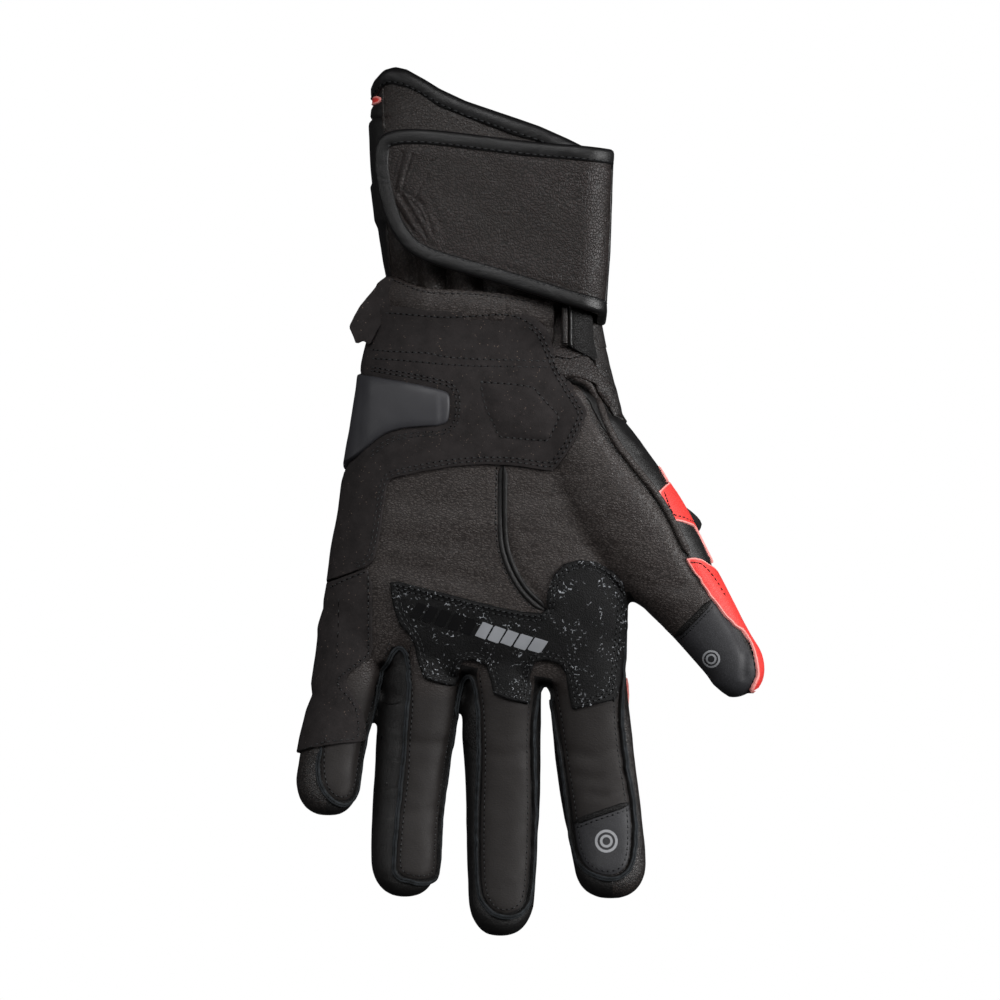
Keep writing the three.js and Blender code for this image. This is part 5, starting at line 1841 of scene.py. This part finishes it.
# %% Moulded, printed and raw surfaces
def plain_look(name, dark, light, roughness, grain, depth, specular=0.4, blotch=12, **extra):
    material, add, surface, place = coated(name, Specular_IOR_Level=specular, **extra)
    clouds = add(RAMP, {"Fac": add(NOISE, spots(place, blotch, 4))}, stops=[(0.3, 0), (0.7, 1)])
    colour = blend(add, clouds, linear(dark), linear(light))
    rough = add(RAMP, {"Fac": add(NOISE, spots(place, blotch * 0.6, 4))},
                stops=[(0.3, roughness - 0.06), (0.7, roughness + 0.06)])
    return finish(material, surface, colour, rough, (add(NOISE, spots(place, grain)), depth))


def raw_edged(material):
    """The cut edge of the red leather is raw and pale, 0.35 to 0.75 mm in from the edge."""
    add = partial(add_node, material.node_tree)
    surface = next(n for n in material.node_tree.nodes if n.type == "BSDF_PRINCIPLED")
    dye = surface.inputs["Base Color"].links[0].from_socket
    edge = add("ShaderNodeAttribute", output="Fac", attribute_name="edge_distance")
    inner = add("ShaderNodeMapRange", {"Value": edge, "From Min": 0.35, "From Max": 0.75})
    colour = blend(add, inner, linear("#d98a84"), dye)
    material.node_tree.links.new(colour, surface.inputs["Base Color"])
    return material


print("raw edge of the red hide: 0.35 to 0.75 mm")

# %% [markdown]
# ## The glove's materials
#
# Each material is named for what it is, and its comment says what that gives the eye. The specular level is low
# on all hides: black leather looks black because little light comes back from it, and most of that is gloss.

# %% The glove's materials
MATERIALS = {
    # goatskin of the palm: warm black, short ripples that catch the light, rubbed smooth and darkened by painted
    # shade on the fingers
    "leather": leather_look("black_grain_leather", "#322d2b", "#393432", 0.46, 0.9, 0.16, 0.05, 0.24, (0.68, 1.15, 1),
                            lines="#171312", width=0.2, smooth_and_shaded_below=-72, ripples=0.8),
    # the cuff's front: the palm's hide with a darker dye, like the flap, as painted shade
    "cuff": leather_look("cuff_leather_painted_shade", "#231e1c", "#2c2725", 0.46, 0.95, 0.16, 0.06, 0.24, (0.9, 1.0, 1),
                         lines="#0e0b0a", width=0.2, ripples=0.8),
    # stiff padded hide of the flap: larger, calmer pebbles; the palm's hide with a darker dye that paints shade
    "flap": leather_look("flap_leather_painted_shade", "#1f1a18", "#272120", 0.46, 1.1, 0.12, 0.06, 0.2, lines="#100d0c",
                         width=0.2),
    # hide at the outer sides: a brown-black that shows its pebbles against the light
    "side_leather": leather_look("black_side_leather", "#1d1816", "#2a2421", 0.47, 0.9, 0.12, 0.1, 0.32),
    # soft smooth hide on the thumb's side: an even dark grey sheen
    "thumb_side": leather_look("black_thumb_side_leather", "#121212", "#181818", 0.45, 0.5, 0.03, 0.04, 0.3),
    # smooth hide of back and fourchettes: nearly black, with faint long wrinkles
    "smooth": leather_look("black_smooth_leather", "#0d0d0d", "#161515", 0.5, 0.6, 0.05, 0.15, 0.25),
    # the same smooth hide on folds and small flaps: duller, with a darker colour that paints their shade
    "smooth_fold": leather_look("fold_leather_painted_shade", "#0b0b0b", "#121111", 0.56, 0.9, 0.14, 0.15, 0.16),
    # conductive leather of the touch tips: a flat matt grey, coated, with hardly a grain
    "touch": leather_look("grey_touch_leather", "#28282b", "#2d2d30", 0.58, 0.6, 0.02, 0.05, 0.25, lines="#1e1e20"),
    # split leather of the patches: velvety, no gloss, a few pale fibres
    "suede": suede_look("black_suede", "#1d1b1b", "#2a2727"),
    # rubber print of the grip patch: deep matt black with bright broken flecks
    "grip": grip_look("crackled_rubber_grip"),
    # rolled edge tape: the glossiest black, so a highlight runs along it
    "binding": leather_look("black_rolled_binding", "#080809", "#0e0e10", 0.42, 0.6, 0.03, 0.12, 0.27),
    # dyed hide: a saturated coral with fine darker pores and a pale cut edge
    "red": raw_edged(leather_look("coral_red_leather", "#dd3832", "#e6423b", 0.54, 0.8, 0.04, 0.1, 0.25,
                                  lines="#bb2f2b")),
    # moulded slider: even grey with the soft gloss of a worn plastic
    "plastic": plain_look("grey_moulded_plastic", "#2a2a2d", "#303033", 0.52, 0.3, 0.02, 0.3),
    # moulded guards: smoother and darker
    "guard": plain_look("black_moulded_plastic", "#0d0d0e", "#131314", 0.42, 0.6, 0.01, 0.35),
    # outer faces of the raised seams: dull black
    "cut_edge": leather_look("black_cut_edge_leather", "#090909", "#161515", 0.65, 0.5, 0.1, 0.25, 0.2),
    # tops of the raised seams: fibrous blue-grey, where the hide is cut through
    "raw_edge": plain_look("raw_leather_edge", "#141617", "#2a2d30", 0.9, 0.35, 0.15, 0.15, 2.5),
    # bright foil of the printed bars: a light satin grey
    "silver": plain_look("silver_transfer", "#7b7d81", "#8b8d91", 0.4, 0.6, 0.01, 0.5, Metallic=0.2),
    # ink of the touch rings: flatter than the foil
    "silver_ink": plain_look("silver_ink", "#77787b", "#828386", 0.5, 0.5, 0.005),
    # dark bars: black on black, seen only by their gloss; the same dark sheets paint the shade inside the
    # fourchette's slits
    "dark_print": plain_look("dark_gloss_transfer_and_slit_shade", "#050506", "#080809", 0.25, 0.8, 0.01, 0.3),
}
for mesh, look in pending:
    mesh.materials.append(MATERIALS[look])
print(len(MATERIALS), "materials on", len(pending), "mesh slots")

# %% [markdown]
# Bonded thread is a twisted, slightly shiny black cord that looks blue-grey against the warm hide. The needle
# holes are plain shadow: dark, rough and without gloss.

# %% Thread and needle holes
thread, add, surface, place = coated(thread_material, Specular_IOR_Level=0.35, Roughness=0.55)
twist = blend(add, add(NOISE, spots(place, 0.6)), linear("#101112"), linear("#1d1f21"))
finish(thread, surface, twist, None, (add(NOISE, spots(place, 0.2)), 0.04))
coated(hole_shadow_material, Specular_IOR_Level=0.0, Roughness=1.0, Base_Color=linear("#050505"))
print("thread and holes shaded:", thread_material.name, hole_shadow_material.name)

# %% [markdown]
# ## Floor
#
# Product pictures are taken on a white sweep. The floor only glows white for the camera and neither lights the
# glove nor shows in its gloss, so the leather stays black.

# %% Floor
bpy.ops.mesh.primitive_plane_add(size=4, location=(0, 0, -0.0002))
floor = bpy.context.object
floor.name = "floor"
sweep_white = coated("white_sweep", Roughness=1.0, Specular_IOR_Level=0.0, Base_Color=(0, 0, 0, 1),
                     Emission_Color=(1, 1, 1, 1), Emission_Strength=1.0)[0]
floor.data.materials.append(sweep_white)
floor.visible_diffuse = False
floor.visible_glossy = False
print("floor 0.2 mm below the glove")

# %% [markdown]
# ## Studio light
#
# Black leather shows its form by highlights. The sky is a dim gradient, brighter above, and three soft boxes give
# the sheen: one above the cuff, a weak one on the left, and a low strong one on the thumb side that rakes over the
# grain.

# %% Studio light
world = bpy.context.scene.world or bpy.data.worlds.new("studio")
bpy.context.scene.world = world
world.use_nodes = True
sky = world.node_tree
upwards = add_node(sky, "ShaderNodeTexCoord", output="Generated")
height = add_node(sky, "ShaderNodeSeparateXYZ", {0: upwards}, "Z")
glow = add_node(sky, RAMP, {"Fac": height}, stops=[(0.0, (0.12, 0.12, 0.13, 1)), (0.9, (0.6, 0.6, 0.6, 1))])
sky.links.new(glow, sky.nodes["Background"].inputs["Color"])
sky.nodes["Background"].inputs["Strength"].default_value = 0.27


def area_light(name, place, target, size, power):
    data = bpy.data.lights.new(name, "AREA")
    data.shape = "RECTANGLE"
    data.size, data.size_y = size
    data.energy = power
    light = bpy.data.objects.new(name, data)
    light.location = place
    light.rotation_euler = (Vector(target) - Vector(place)).to_track_quat("-Z", "Y").to_euler()
    bpy.context.scene.collection.objects.link(light)


area_light("top_softbox", (-0.15, 0.75, 1.35), (0, 0, 0), (0.9, 0.5), 15)
area_light("left_softbox", (-1.1, 0.3, 0.6), (0, 0, 0), (0.3, 1.0), 3.2)
area_light("right_softbox", (1.0, 0.15, 0.45), (0, 0, 0), (0.25, 1.0), 20)
print("3 soft boxes, 38 W in all")

# %% [markdown]
# ## Camera
#
# The camera looks straight down from 2.3 m through a long lens, so that 360 mm fill the frame and the tall cuff
# isn't drawn larger than the flat fingertips.

# %% Camera
camera_data = bpy.data.cameras.new("camera")
camera = bpy.data.objects.new("camera", camera_data)
bpy.context.scene.collection.objects.link(camera)
HEIGHT, SENSOR, LENS = 2.33, 36, 230  # in m, mm and mm
camera.location = (-0.00954, 0.00036, HEIGHT)
camera_data.sensor_width = SENSOR
camera_data.lens = LENS
camera_data.clip_end = 10
bpy.context.scene.camera = camera
bpy.context.scene.view_settings.view_transform = "Standard"
print(f"frame of {HEIGHT * SENSOR / LENS / MM:.0f} mm")
